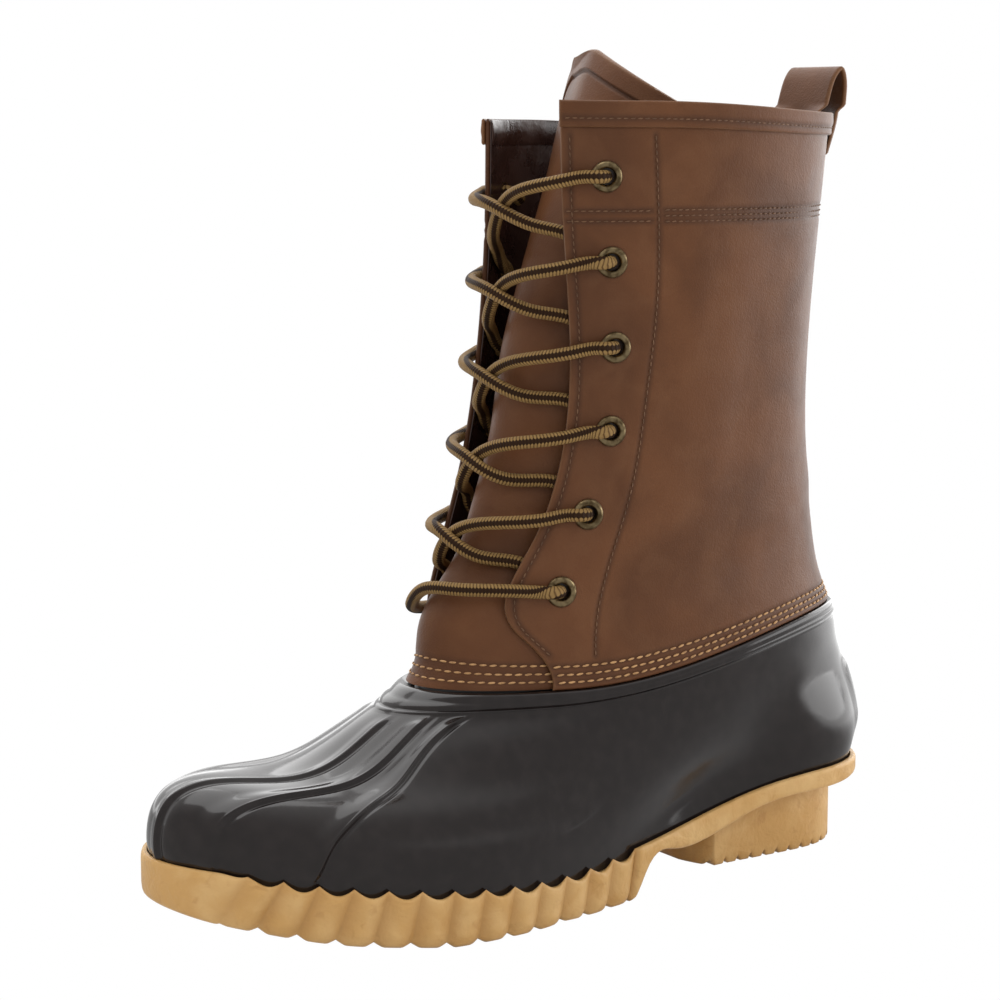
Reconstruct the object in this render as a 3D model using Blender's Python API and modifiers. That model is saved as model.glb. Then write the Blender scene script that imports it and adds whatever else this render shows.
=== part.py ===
"""Lace-up ankle boot with a moulded rubber bottom, left foot, as an assembly of its sewn and moulded pieces.

All sizes are in millimetres and the meshes are made in metres. The toe points to -Y, the outer (little-toe)
side is +X and the floor is Z = 0. The shape is drawn about the heel-to-toe axis of its tables, and CENTRING then
puts the origin under the middle of the boot.

Two functions carry the shape. sole_outline() is the plan of the sole, read from SOLE. form() is the outside of
the upper: a stack of rings, read from RINGS, that starts as the sole's plan and ends as the oval collar. Every
wall of the upper is cut between two offsets of form(), so neighbouring pieces keep an even gap.
The angle phi runs round the boot: 0 at the toe, pi / 2 on the outer side, pi at the heel.
"""

import math
from collections import namedtuple

import bmesh
import bpy
import numpy as np
from mathutils import Matrix, Vector

MM = 0.001
GAP = 0.3

# Driving sizes
SOLE_FRONT = -139.5
SOLE_BACK = 144.0
SOLE_LENGTH = SOLE_BACK - SOLE_FRONT
BALL_WIDTH = 100.0
SHELL_TOP = 75.5
COLLAR_TOP = 269.0
TONGUE_TOP = 290.1
CENTRING = (-0.2, -3.7, 0.0)

# How much sooner the outer back turns from the foot's plan to the leg's, from and over which share of the length
BACK_HASTE = 1.5
BACK_FROM = 0.46
BACK_RUN = 0.28
SIDE_BLEND = 0.2

# Sole
LIP_HEIGHT = 3.2
LIP_THICKNESS = 3.0
LIP_EDGE = 1.9
FLUTE_COUNT = 14
FLUTE_POINTS = 4
FLUTE_DEPTH = 1.3
FLUTE_SLANTS = (0.95, 0.25, 0.3)
SCALLOP_DEPTH = 2.4
TREAD_GROOVE = 1.6
TREAD_LAND = 0.3
FLUTES_START_Y = -129.0
FLUTES_END_Y = 22.0
TOE_SEGMENTS = 5
SHANK_SEGMENTS = 13
SHANK_START = 12.0
BREAST_STATIONS = (3.0, 6.0)
HEEL_INSET = 9.8
HEEL_BREAST_Y = 62.0
HEEL_BREAST_BOW = 0.011
HEEL_TOOTH_PITCH = 5.8
HEEL_TOOTH_LAND = 3.6
HEEL_GROOVE = 2.0
INSOLE_THICKNESS = 4.0
INSOLE_CLEAR = 1.2

# Upper walls
SHELL_WALL = 2.5
SHELL_INSET = LIP_THICKNESS + GAP
SHELL_BAND_HEIGHT = 7.5
SHELL_BAND_RISE = 0.8
FLANGE_HEIGHT = 15.0
FLANGE_WALL = 1.3
LEATHER = 1.8
PLEAT_HEIGHT = 1.4
PLEAT_RISE = math.radians(6.0)
PLEAT_DROP = math.radians(1.6)
PLEAT_START = 6.0
PLEAT_EASE = 8.0
HEEL_PAD_RISE = 1.4
HEEL_PAD_EDGE = math.radians(17.0)
HEEL_PAD_RAMP = math.radians(4.0)
HEEL_PAD_UP = 0.3
HEEL_PAD_REACH = 0.16
HEEL_PAD_LAND = 1.6
WAIST_DEPTHS = (1.2, 4.0)
WAIST_ENDS = (8.0, 110.0)
WAIST_EASE = (55.0, 34.0)
WAIST_HEIGHT = (7.0, 17.0)
WAIST_RETURN = 34.0
COLLAR_BAND_HEIGHT = 8.8
COLLAR_BAND_WALL = 1.0

# Hardware and lace
EYELET_RADIUS = 5.2
EYELET_BORE = 2.8
EYELET_BARREL = 3.3
EYELET_HOLE = 3.7
EYELET_SEGMENTS = 9
LACE_RADIUS = 2.2
LACE_CLEAR = 0.45
LACE_START = 0.28
LOOP_WIDTH = 27.0
LOOP_STRAP = 1.6
LOOP_SEGMENTS = 18
LOOP_FLATTENING = 0.95
LOOP_EASE = 3.0

# Plan and side view of the sole: along is the share of its length from the toe, outer and inner are the two
# edges as shares of half the ball width, top and bottom are the heights of the rand's two edges. The tread lies
# flat on the floor where bottom is below it.
SoleStation = namedtuple("SoleStation", "along outer inner top bottom")
SOLE = (
    SoleStation(0.00, -0.04, 0.04, 31.6, 17.5),
    SoleStation(0.03, 0.36, 0.46, 30.8, 14.5),
    SoleStation(0.08, 0.58, 0.71, 28.5, 10.8),
    SoleStation(0.15, 0.77, 0.88, 24.6, 6.0),
    SoleStation(0.25, 0.93, 0.985, 20.2, 1.6),
    SoleStation(0.36, 1.00, 0.95, 17.0, -1.0),
    SoleStation(0.50, 0.90, 0.73, 16.2, -1.6),
    SoleStation(0.574, 0.805, 0.65, 18.1, 3.0),
    SoleStation(0.588, 0.786, 0.637, 18.5, 9.6),
    SoleStation(0.64, 0.72, 0.61, 20.4, 13.4),
    SoleStation(0.78, 0.67, 0.64, 28.4, 21.6),
    SoleStation(0.90, 0.66, 0.64, 31.4, 24.2),
    SoleStation(0.97, 0.44, 0.43, 31.2, 25.0),
    SoleStation(1.00, 0.00, 0.00, 31.0, 25.4),
)

# Outside of the upper, a row for each ring: where it crosses the centre plane in front and behind, its height at
# mid length, its half width near the front and from mid length back, how far its plan is still the foot's (1) or
# already the leg's oval (0), and how far the inner side sags and stands open beside the throat.
Ring = namedtuple("Ring", "front_y front_z side_z back_y back_z front_width half_width foot inner_sag inner_flare")
RINGS = (
    Ring(-136.2, 28.7, 13.3, 140.7, 28.1, 46.7, 46.7, 1.00, 0.0, 0.0),
    Ring(-137.9, 37.5, 28.5, 145.5, 44.0, 46.9, 47.0, 0.88, 0.0, 0.0),
    Ring(-134.3, 49.6, 33.5, 144.8, 55.0, 46.2, 44.5, 0.65, 0.0, 0.0),
    Ring(-119.8, 55.8, 40.8, 142.8, 62.5, 45.0, 42.0, 0.43, 0.0, 0.0),
    Ring(-97.1, 54.4, 48.5, 141.4, 68.0, 41.2, 40.0, 0.20, 0.0, 0.0),
    Ring(-77.3, 58.5, 60.5, 139.2, 74.0, 35.6, 39.0, 0.05, 0.0, 0.0),
    Ring(-61.2, 66.6, 67.0, 137.7, 80.5, 32.8, 38.3, 0.00, 0.0, 0.0),
    Ring(-44.1, SHELL_TOP, 74.3, 134.3, 88.7, 37.7, 38.0, 0.00, 0.0, 0.0),
    Ring(-39.5, 96.0, 92.0, 128.3, 103.0, 36.5, 36.5, 0.00, 5.0, 0.4),
    Ring(-32.5, 119.0, 116.0, 123.8, 128.0, 36.0, 36.0, 0.00, 6.5, 2.0),
    Ring(-20.0, 150.0, 150.0, 120.5, 155.0, 37.0, 37.0, 0.00, 5.5, 2.4),
    Ring(-12.5, 186.0, 186.0, 120.2, 188.0, 39.0, 39.0, 0.00, 5.5, 1.6),
    Ring(-9.5, 228.0, 228.0, 123.4, 228.0, 41.0, 41.0, 0.00, 6.2, 0.2),
    Ring(-8.4, COLLAR_TOP, 268.4, 127.0, 264.7, 42.5, 42.5, 0.00, 6.2, 0.0),
)
SHELL_TOP_RING = 7
FRONT_FALL = 4
SAG_START = math.radians(30)
SAG_END = math.radians(100)
FLARE_AT = math.radians(35)
FLARE_SPREAD = math.radians(30)
FLARE_WAY = (0.78, 0.62)

# Moccasin pleats of the shell, in degrees from the toe line: at the sole, a third and two thirds of the way up and
# at the top. One runs near the toe line, and the side pleats are mirrored on the inner side.
Pleat = namedtuple("Pleat", "at_sole at_third at_two_thirds at_top")
TOE_PLEAT = Pleat(3.0, 3.0, 13.5, 8.0)
SIDE_PLEATS = (
    Pleat(22.0, 24.0, 31.0, 24.0),
    Pleat(42.0, 46.0, 40.0, 40.0),
)

# Pull loop from the side: the middle line of its strap, behind the collar's back edge and above the floor, from
# its foot outside the shaft over the fold to its foot inside.
LoopStation = namedtuple("LoopStation", "behind height")
LOOP = (
    LoopStation(-0.2, 250.0),
    LoopStation(2.0, 256.0),
    LoopStation(3.7, 261.0),
    LoopStation(4.7, 266.0),
    LoopStation(5.3, 272.0),
    LoopStation(5.1, 277.0),
    LoopStation(3.4, 280.2),
    LoopStation(1.2, 278.6),
    LoopStation(-0.9, 275.0),
    LoopStation(-2.6, 270.0),
    LoopStation(-3.9, 265.0),
    LoopStation(-4.7, 258.0),
    LoopStation(-5.2, 250.0),
)

# Front edge of each quarter: the throat's width on the outer and on the inner side, at a height.
ThroatEdge = namedtuple("ThroatEdge", "level outer inner")
THROAT = (
    ThroatEdge(75.0, 31.0, 31.0),
    ThroatEdge(84.0, 29.3, 29.0),
    ThroatEdge(92.0, 27.0, 26.0),
    ThroatEdge(99.0, 24.0, 22.5),
    ThroatEdge(106.0, 22.3, 20.5),
    ThroatEdge(114.0, 22.4, 20.0),
    ThroatEdge(128.0, 24.2, 20.3),
    ThroatEdge(150.0, 25.6, 20.8),
    ThroatEdge(190.0, 25.2, 21.5),
    ThroatEdge(230.0, 23.0, 22.0),
    ThroatEdge(268.0, 22.0, 22.0),
)

# Eyelets, from the lowest up: their height on each side and how far they sit behind the quarter's edge.
EyeletRow = namedtuple("EyeletRow", "outer_level inner_level setback")
EYELETS = (
    EyeletRow(111.0, 105.0, 18.0),
    EyeletRow(134.0, 134.0, 14.5),
    EyeletRow(160.0, 160.0, 15.2),
    EyeletRow(188.0, 188.0, 15.2),
    EyeletRow(216.0, 216.0, 15.4),
    EyeletRow(244.0, 244.0, 15.0),
)

# Vamp and tongue: how far it lies inside the form in front and at the side, and the angle of its side edge.
TongueRow = namedtuple("TongueRow", "level front_depth side_depth edge")
TONGUE = (
    TongueRow(75.0, 0.4, 2.9, math.radians(72)),
    TongueRow(88.0, 0.9, 2.9, math.radians(69)),
    TongueRow(98.0, 2.2, 3.0, math.radians(66)),
    TongueRow(107.0, 5.2, 4.8, math.radians(64)),
    TongueRow(117.0, 8.6, 8.4, math.radians(62)),
    TongueRow(132.0, 8.8, 8.4, math.radians(62)),
    TongueRow(160.0, 8.6, 8.2, math.radians(62)),
    TongueRow(188.0, 8.8, 8.0, math.radians(62)),
    TongueRow(208.0, 13.5, 7.0, math.radians(61)),
    TongueRow(228.0, 20.0, 5.6, math.radians(60)),
    TongueRow(248.0, 27.5, 5.0, math.radians(60)),
    TongueRow(268.0, 34.0, 4.8, math.radians(60)),
    TongueRow(286.0, 41.5, 4.8, math.radians(60)),
)
TONGUE_CORNER_DROP = 21.6
TONGUE_PEAK = -0.47
TONGUE_PEAK_POWER = 1.3

# Base colour, roughness and metallic value of each material
Finish = namedtuple("Finish", "colour roughness metallic")
FINISHES = {
    "gum_rubber": Finish((0.63, 0.37, 0.13), 0.55, 0.0),
    "gloss_rubber": Finish((0.018, 0.013, 0.012), 0.12, 0.0),
    "brown_leather": Finish((0.13, 0.055, 0.024), 0.5, 0.0),
    "footbed": Finish((0.05, 0.035, 0.03), 0.9, 0.0),
    "antique_brass": Finish((0.17, 0.13, 0.065), 0.4, 0.9),
    "lace_cord": Finish((0.3, 0.19, 0.07), 0.8, 0.0),
}


def spline(knots, rows, at):
    """Natural cubic spline through rows of values at the knots, read at the places in `at`."""
    t = np.asarray(knots, float)
    rows = np.asarray(rows, float).reshape(len(t), -1)
    step = np.diff(t)
    system = np.eye(len(t))
    pull = np.zeros_like(rows)
    for k in range(1, len(t) - 1):
        system[k, k - 1 : k + 2] = step[k - 1], 2 * (step[k - 1] + step[k]), step[k]
        pull[k] = 6 * ((rows[k + 1] - rows[k]) / step[k] - (rows[k] - rows[k - 1]) / step[k - 1])
    bend = np.linalg.solve(system, pull)
    at = np.clip(np.asarray(at, float), t[0], t[-1])
    k = np.clip(np.searchsorted(t, at) - 1, 0, len(t) - 2)
    h = step[k][..., None]
    a = (t[k + 1] - at)[..., None] / h
    b = 1 - a
    return a * rows[k] + b * rows[k + 1] + ((a**3 - a) * bend[k] + (b**3 - b) * bend[k + 1]) * h**2 / 6


def share_along(phi):
    """Share of the length from the toe at angle phi, the same on both sides."""
    return (1 - np.cos(phi)) / 2


SOLE_PHI = np.arccos(1 - 2 * np.array([row.along for row in SOLE]))
OUTLINE_PHI = np.concatenate([SOLE_PHI, 2 * math.pi - SOLE_PHI[-2:0:-1]])
OUTLINE_X = BALL_WIDTH / 2 * np.array([row.outer for row in SOLE] + [-row.inner for row in SOLE[-2:0:-1]])
OUTLINE_KNOTS = np.concatenate([OUTLINE_PHI - 2 * math.pi, OUTLINE_PHI, OUTLINE_PHI + 2 * math.pi])
OUTLINE_ROWS = np.tile(OUTLINE_X, 3)


def sole_outline(phi, inset=0.0):
    """Plan points (x, y) of the sole's edge at the angles phi, moved inwards by inset."""

    def edge(angle):
        x = spline(OUTLINE_KNOTS, OUTLINE_ROWS, angle)[..., 0]
        return np.stack([x, SOLE_FRONT + SOLE_LENGTH * share_along(angle)], -1)

    phi = np.asarray(phi, float)
    along = edge(phi + 1e-3) - edge(phi - 1e-3)
    along /= np.linalg.norm(along, axis=-1, keepdims=True)
    outward = np.stack([along[..., 1], -along[..., 0]], -1)
    return edge(phi) - outward * np.asarray(inset, float)[..., None]


def sole_height(y, column):
    """Height of the rand's top or bottom edge at y, no lower than the floor."""
    along = (np.asarray(y, float) - SOLE_FRONT) / SOLE_LENGTH
    heights = spline([row.along for row in SOLE], [getattr(row, column) for row in SOLE], along)[..., 0]
    return np.maximum(heights, 0.0)


def seat_height(y):
    """Height of the sole's upper face, which the shell and the insole stand on."""
    return sole_height(y, "top") - LIP_HEIGHT


def ring_knots():
    """Spacing of the rings: the mean of the steps in front, at the side and behind."""
    table = np.array(RINGS)
    front = np.hypot(*np.diff(table[:, 0:2], axis=0).T)
    back = np.hypot(*np.diff(table[:, 3:5], axis=0).T)
    side = np.abs(np.diff(table[:, 2]))
    return np.concatenate([[0.0], np.cumsum((front + back + side) / 3)])


RING_KNOTS = ring_knots()
SHELL_TOP_V = RING_KNOTS[SHELL_TOP_RING]
COLLAR_V = RING_KNOTS[-1]


def ring_at(v):
    """The ring's columns at the places v, each an array."""
    return Ring(*np.moveaxis(spline(RING_KNOTS, RINGS, v), -1, 0))


def smooth_step(t):
    """Eases from 0 to 1 as t goes from 0 to 1."""
    t = np.clip(t, 0, 1)
    return t * t * (3 - 2 * t)


def ring_height(front, side, back, along):
    """Height along a ring: from its front down to its side, level there, then up to its back."""
    front_share = np.clip(1 - 2 * along, 0, 1) ** FRONT_FALL
    return side + (front - side) * front_share + (back - side) * smooth_step((along - 0.25) / 0.7)


def sag(phi, ring):
    """How far the inner side sits below the outer one at angle phi, easing out at the front and the back."""
    inner = (-phi) % (2 * math.pi)
    share = smooth_step(inner / SAG_START) * smooth_step((math.pi - inner) / SAG_END)
    return ring.inner_sag * share * (inner < math.pi)


def outer_share(phi):
    """1 on the outer side, 0 on the inner side, and a blend near the centre plane."""
    return smooth_step((np.sin(phi) + SIDE_BLEND) / (2 * SIDE_BLEND))


def form(phi, v):
    """Points of the upper's outside at angle phi and place v, which counts from the sole up to COLLAR_V."""
    phi, v = np.broadcast_arrays(np.asarray(phi, float), np.asarray(v, float))
    ring = ring_at(v)
    plan = sole_outline(phi, SHELL_INSET)
    ends = sole_outline(np.array([0.0, math.pi]), SHELL_INSET)[:, 1]
    along = (plan[..., 1] - ends[0]) / (ends[1] - ends[0])
    width = ring.half_width + (ring.front_width - ring.half_width) * smooth_step(1 - 2 * along)
    haste = BACK_HASTE * smooth_step((along - BACK_FROM) / BACK_RUN) * outer_share(phi)
    foot = np.clip(ring.foot, 0, 1) ** (1 + haste)
    x = width * (foot * plan[..., 0] / RINGS[0].half_width + (1 - foot) * np.sin(phi))
    along = foot * along + (1 - foot) * share_along(phi)
    y = ring.front_y + (ring.back_y - ring.front_y) * along
    first = RINGS[0]
    settle = seat_height(y) + GAP - ring_height(first.front_z, first.side_z, first.back_z, along)
    sole_share = np.clip(1 - v / SHELL_TOP_V, 0, 1) ** 2
    z = ring_height(ring.front_z, ring.side_z, ring.back_z, along) + sole_share * settle
    from_flare = (phi + FLARE_AT + math.pi) % (2 * math.pi) - math.pi
    flare = ring.inner_flare * np.exp(-((from_flare / FLARE_SPREAD) ** 2))
    x = x - flare * FLARE_WAY[0]
    y = y - flare * FLARE_WAY[1]
    return np.stack([x, y, z - sag(phi, ring)], -1)


def outward(phi, v):
    """Unit normals of the form."""
    step = 1e-3
    v = np.clip(np.asarray(v, float), 0.05, COLLAR_V - 0.05)
    round_it = form(phi + step, v) - form(phi - step, v)
    up_it = form(phi, v + 0.05) - form(phi, v - 0.05)
    normal = np.cross(round_it, up_it)
    return normal / np.linalg.norm(normal, axis=-1, keepdims=True)


def offset_form(phi, v, lift):
    """Points of the form moved out by lift."""
    phi, v, lift = np.broadcast_arrays(*(np.asarray(a, float) for a in (phi, v, lift)))
    return form(phi, v) + outward(phi, v) * lift[..., None]


LEVEL_V = np.linspace(SHELL_TOP_V, COLLAR_V, 400)
LEVEL_Z = ring_at(LEVEL_V).front_z


def v_at_level(level):
    """Place v of the ring whose front is at this height."""
    return np.interp(level, LEVEL_Z, LEVEL_V)


def phi_at_x(x, level):
    """Angle near the toe line where the ring at this level is x from the centre plane."""
    ring = ring_at(v_at_level(level))
    return np.arcsin(np.clip(x / ring.half_width, -1, 1))


def edge_x(level, side):
    """Signed x of the quarter's front edge at a level, on the outer (1) or inner (-1) side."""
    widths = [row.outer if side > 0 else row.inner for row in THROAT]
    return side * spline([row.level for row in THROAT], widths, level)[..., 0]


def throat_point(x, level, lift):
    """A point in front of the ankle, x from the centre plane, lifted off the form that spans the throat."""
    return offset_form(phi_at_x(x, level), v_at_level(level), lift)


def eyelet_level(side, row):
    """Level of an eyelet on the outer (1) or inner (-1) side."""
    return EYELETS[row].outer_level if side > 0 else EYELETS[row].inner_level


def eyelet_phi(side, row, short_by=0.0):
    """Angle of an eyelet: its setback behind the quarter's edge, measured round the ring, less short_by."""
    level = eyelet_level(side, row)
    start = float(phi_at_x(edge_x(level, side), level))
    angles = start + side * np.linspace(0, 1.2, 200)
    points = form(angles, v_at_level(level))
    walked = np.concatenate([[0.0], np.cumsum(np.linalg.norm(np.diff(points, axis=0), axis=1))])
    return float(np.interp(EYELETS[row].setback - short_by, walked, angles))


def finish(name):
    """The named material, made once."""
    made = bpy.data.materials.get(name)
    if made is None:
        made = bpy.data.materials.new(name)
        made.use_nodes = True
        shader = made.node_tree.nodes["Principled BSDF"]
        shader.inputs["Base Color"].default_value = (*FINISHES[name].colour, 1.0)
        shader.inputs["Roughness"].default_value = FINISHES[name].roughness
        shader.inputs["Metallic"].default_value = FINISHES[name].metallic
    return made


def add_object(name, mesh, collection, material=None):
    """A new object for the mesh, in the collection."""
    piece = bpy.data.objects.new(name, mesh)
    collection.objects.link(piece)
    if material:
        mesh.materials.clear()
        mesh.materials.append(finish(material))
        mesh.shade_smooth()
        mesh.set_sharp_from_angle(angle=math.radians(35))
    return piece


def mesh_of(name, points, faces):
    """A closed mesh from points in millimetres, its faces turned outwards."""
    mesh = bpy.data.meshes.new(name)
    mesh.from_pydata((np.asarray(points) * MM).tolist(), [], faces)
    shape = bmesh.new()
    shape.from_mesh(mesh)
    bmesh.ops.remove_doubles(shape, verts=shape.verts, dist=1e-7)
    bmesh.ops.recalc_face_normals(shape, faces=shape.faces)
    shape.to_mesh(mesh)
    shape.free()
    return mesh


def stacked_loops(name, loops):
    """A solid between closed loops of equal length, which start at the toe. Each end loop is closed by rungs
    from its outer to its inner side."""
    count = len(loops[0])
    half = count // 2
    faces = []
    for k in range(len(loops) - 1):
        for i in range(count):
            j = (i + 1) % count
            faces.append((k * count + i, k * count + j, (k + 1) * count + j, (k + 1) * count + i))
    for base in (0, (len(loops) - 1) * count):
        for i in range(half):
            rung = [base + i, base + i + 1, base + (count - i - 1) % count, base + (count - i) % count]
            faces.append(tuple(dict.fromkeys(rung)))
    return mesh_of(name, np.concatenate(loops), faces)


def wall_between(name, outside, inside, closed):
    """A solid between two sheets of the same grid, rows by columns. closed joins the last column to the first."""
    rows, columns = outside.shape[:2]
    count = rows * columns
    index = np.arange(count).reshape(rows, columns)
    if closed:
        index = np.concatenate([index, index[:, :1]], 1)
    faces = []
    for sheet in (index, index + count):
        for r in range(rows - 1):
            for c in range(index.shape[1] - 1):
                faces.append((sheet[r, c], sheet[r, c + 1], sheet[r + 1, c + 1], sheet[r + 1, c]))
    rims = [index[0], index[-1]]
    if not closed:
        rims += [index[:, 0], index[:, -1]]
    for rim in rims:
        for a, b in zip(rim[:-1], rim[1:]):
            faces.append((a, b, b + count, a + count))
    faces = [tuple(int(i) for i in face) for face in faces]
    points = np.concatenate([outside.reshape(-1, 3), inside.reshape(-1, 3)])
    return mesh_of(name, points, faces)


def cut_by(piece, tool, operation):
    """Adds a Boolean with another object or a collection of them."""
    boolean = piece.modifiers.new(operation.lower(), "BOOLEAN")
    boolean.operation = operation
    if isinstance(tool, bpy.types.Collection):
        boolean.operand_type = "COLLECTION"
        boolean.collection = tool
    else:
        boolean.object = tool
    return piece


def hide(tool):
    """Marks a helper that only cuts or joins."""
    tool.hide_render = True
    tool.display_type = "WIRE"
    return tool


def side_arcs(inner_side):
    """Angles of one side's stations, from the toe to the heel, and their places counted in flutes (none: nan)."""
    phi = np.linspace(0, math.pi, 1200)
    plan = sole_outline(2 * math.pi - phi if inner_side else phi)
    walked = np.concatenate([[0.0], np.cumsum(np.linalg.norm(np.diff(plan, axis=0), axis=1))])
    first = np.interp(FLUTES_START_Y, plan[:, 1], walked)
    last = np.interp(FLUTES_END_Y, plan[:, 1], walked)
    flutes = np.linspace(0, FLUTE_COUNT, FLUTE_COUNT * FLUTE_POINTS + 1)
    arcs = np.concatenate(
        [
            np.linspace(0, first, TOE_SEGMENTS + 1)[:-1],
            first + (last - first) / FLUTE_COUNT * flutes,
            last + np.array(BREAST_STATIONS),
            np.linspace(last + SHANK_START, walked[-1], SHANK_SEGMENTS),
        ]
    )
    place = np.full(len(arcs), np.nan)
    place[TOE_SEGMENTS : TOE_SEGMENTS + len(flutes)] = flutes
    marks = [0, first, (first + last) / 2, last, walked[-1]]
    slant = np.interp(arcs, marks, [0, *FLUTE_SLANTS, 0]) * (last - first) / FLUTE_COUNT
    return arcs, place, slant, walked, phi


def sole_loop(inset, height, depth_share=0.0, share_up=1.0):
    """One loop of the outsole: the outline inset, with the flutes pressed in by depth_share of their depth.
    height(y, lobe) gives z, where lobe is 0 in a flute's groove and outside the fluted stretch, and 1 on a lobe.
    share_up is the loop's share of the rand's height, which sets how far the slanted flutes have moved."""
    sides = []
    for inner_side in (False, True):
        arcs, place, slant, walked, phi = side_arcs(inner_side)
        angle = np.interp(arcs - slant * (1 - share_up), walked, phi)
        angle = 2 * math.pi - angle if inner_side else angle
        fluted = ~np.isnan(place)
        lobe = np.where(fluted, np.abs(np.sin(math.pi * np.nan_to_num(place))), 0.0)
        groove = np.where(fluted, 1 - lobe, 0.0)
        plan = sole_outline(angle, inset + FLUTE_DEPTH * depth_share * groove)
        z = height(plan[:, 1], lobe, groove)
        sides.append(np.column_stack([plan, z]))
    outer, inner = sides
    return np.concatenate([outer, inner[-2:0:-1]])


def heel_block():
    """Heel under the plate: cross sections from the bowed breast to the back, with toothed transverse treads."""
    phi = np.linspace(math.pi / 2, math.pi, 300)
    outer = sole_outline(phi, HEEL_INSET)
    inner = sole_outline(2 * math.pi - phi, HEEL_INSET)
    back_y = outer[-1, 1]
    stations = []
    y = HEEL_BREAST_Y + 1.0
    while y < back_y - 1.0:
        for shift, z in (
            (0.0, 0.0),
            (HEEL_TOOTH_LAND, 0.0),
            (HEEL_TOOTH_LAND + 0.4, HEEL_GROOVE),
            (HEEL_TOOTH_PITCH - 0.4, HEEL_GROOVE),
        ):
            if y + shift < back_y - 1.0:
                stations.append((y + shift, z))
        y += HEEL_TOOTH_PITCH
    points = []
    for y, z in stations:
        bow = math.sqrt((y - HEEL_BREAST_Y) / HEEL_BREAST_BOW)
        left = min(float(np.interp(y, outer[:, 1], outer[:, 0])), bow)
        right = max(float(np.interp(y, inner[:, 1], inner[:, 0])), -bow)
        top = float(sole_height(y, "bottom")) + 2.5
        points += [(left, y, z), (right, y, z), (right, y, top), (left, y, top)]
    faces = [(0, 1, 2, 3)]
    for k in range(len(stations) - 1):
        a, b = 4 * k, 4 * k + 4
        for i in range(4):
            j = (i + 1) % 4
            faces.append((a + i, a + j, b + j, b + i))
    last = 4 * (len(stations) - 1)
    faces.append((last, last + 1, last + 2, last + 3))
    return mesh_of("heel_block", points, faces)


def make_outsole(parts, tools):
    """Gum outsole: tread, fluted rand with a scalloped lip, seat, and the heel block joined on."""

    def bottom(lift):
        def height(y, lobe, groove):
            off_land = np.clip((groove - TREAD_LAND) / (1 - TREAD_LAND), 0, 1)
            return sole_height(y, "bottom") + lift + TREAD_GROOVE * off_land

        return height

    def top(drop):
        def height(y, lobe, groove):
            return sole_height(y, "top") - drop - SCALLOP_DEPTH * lobe

        return height

    loops = [
        sole_loop(8.0, bottom(0.0), 0.0, 0.0),
        sole_loop(2.2, bottom(0.0), 0.6, 0.0),
        sole_loop(0.4, bottom(1.8), 1.0, 0.1),
        sole_loop(0.0, top(1.6), 1.0, 0.9),
        sole_loop(0.4, top(0.0), 0.8, 1.0),
        sole_loop(LIP_EDGE, top(0.0), 0.0, 1.0),
        sole_loop(LIP_THICKNESS, lambda y, lobe, groove: seat_height(y), 0.0, 1.0),
    ]
    outsole = add_object("outsole", stacked_loops("outsole", loops), parts, "gum_rubber")
    block = hide(add_object("heel_block", heel_block(), tools))
    return cut_by(outsole, block, "UNION")


def make_insole(parts):
    """Footbed on the sole's seat, inside the shell."""
    half = np.linspace(0, math.pi, 21)
    phi = np.concatenate([half, 2 * math.pi - half[-2:0:-1]])
    plan = sole_outline(phi, SHELL_INSET + SHELL_WALL + INSOLE_CLEAR)
    loops = [
        np.column_stack([plan, seat_height(plan[:, 1]) + GAP + lift]) for lift in (0.0, INSOLE_THICKNESS)
    ]
    return add_object("insole", stacked_loops("insole", loops), parts, "footbed")


def pleat_phi(pleat, v):
    """Angle of a pleat's crest at the place v."""
    return math.radians(float(spline(np.linspace(0, SHELL_TOP_V, 4), pleat, v)[..., 0]))


def half_columns(v, side):
    """Columns of one side (1 or -1) of a shell row, from the toe pleat's foot to the heel: angles, and 1 on a
    crest. A side pleat rises gently away from the toe line and drops steeply behind its crest."""
    marks = [side * pleat_phi(TOE_PLEAT, v) + PLEAT_DROP]
    for pleat in SIDE_PLEATS:
        crest = pleat_phi(pleat, v)
        marks += [crest - PLEAT_RISE, crest, crest + PLEAT_DROP]
    marks.append(math.pi)
    angles, crests = [], []
    for mark, following, count in zip(marks[:-1], marks[1:], (2, 1, 1, 2, 1, 1, 14)):
        angles += np.linspace(mark, following, count, endpoint=False).tolist()
        crests += [0.0] * count
    for pleat in SIDE_PLEATS:
        crests[angles.index(pleat_phi(pleat, v))] = 1.0
    return angles, crests


def shell_columns(v):
    """Columns of a shell row round the boot, from the toe pleat's crest: angles, and 1 on a pleat's crest."""
    outer, outer_crests = half_columns(v, 1)
    inner, inner_crests = half_columns(v, -1)
    angles = [pleat_phi(TOE_PLEAT, v), *outer, math.pi, *(2 * math.pi - angle for angle in inner[::-1])]
    return np.array(angles), np.array([1.0, *outer_crests, 0.0, *inner_crests[::-1]])


def waist(phi, v):
    """How far the shell is drawn in above the sole's edge, from the shank to the heel."""
    points = form(phi, v)
    y = points[..., 1]
    up = np.maximum(points[..., 2] - seat_height(y), 0.0)
    from_shank, from_heel = y - WAIST_ENDS[0], WAIST_ENDS[1] - y
    along = smooth_step(from_shank / WAIST_EASE[0]) * smooth_step(from_heel / WAIST_EASE[1])
    deepest = np.interp(y, WAIST_ENDS, WAIST_HEIGHT)
    upwards = np.where(up < deepest, smooth_step(up / deepest), 1 - smooth_step((up - deepest) / WAIST_RETURN))
    depth = WAIST_DEPTHS[0] + (WAIST_DEPTHS[1] - WAIST_DEPTHS[0]) * outer_share(phi)
    return depth * along * upwards


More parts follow.
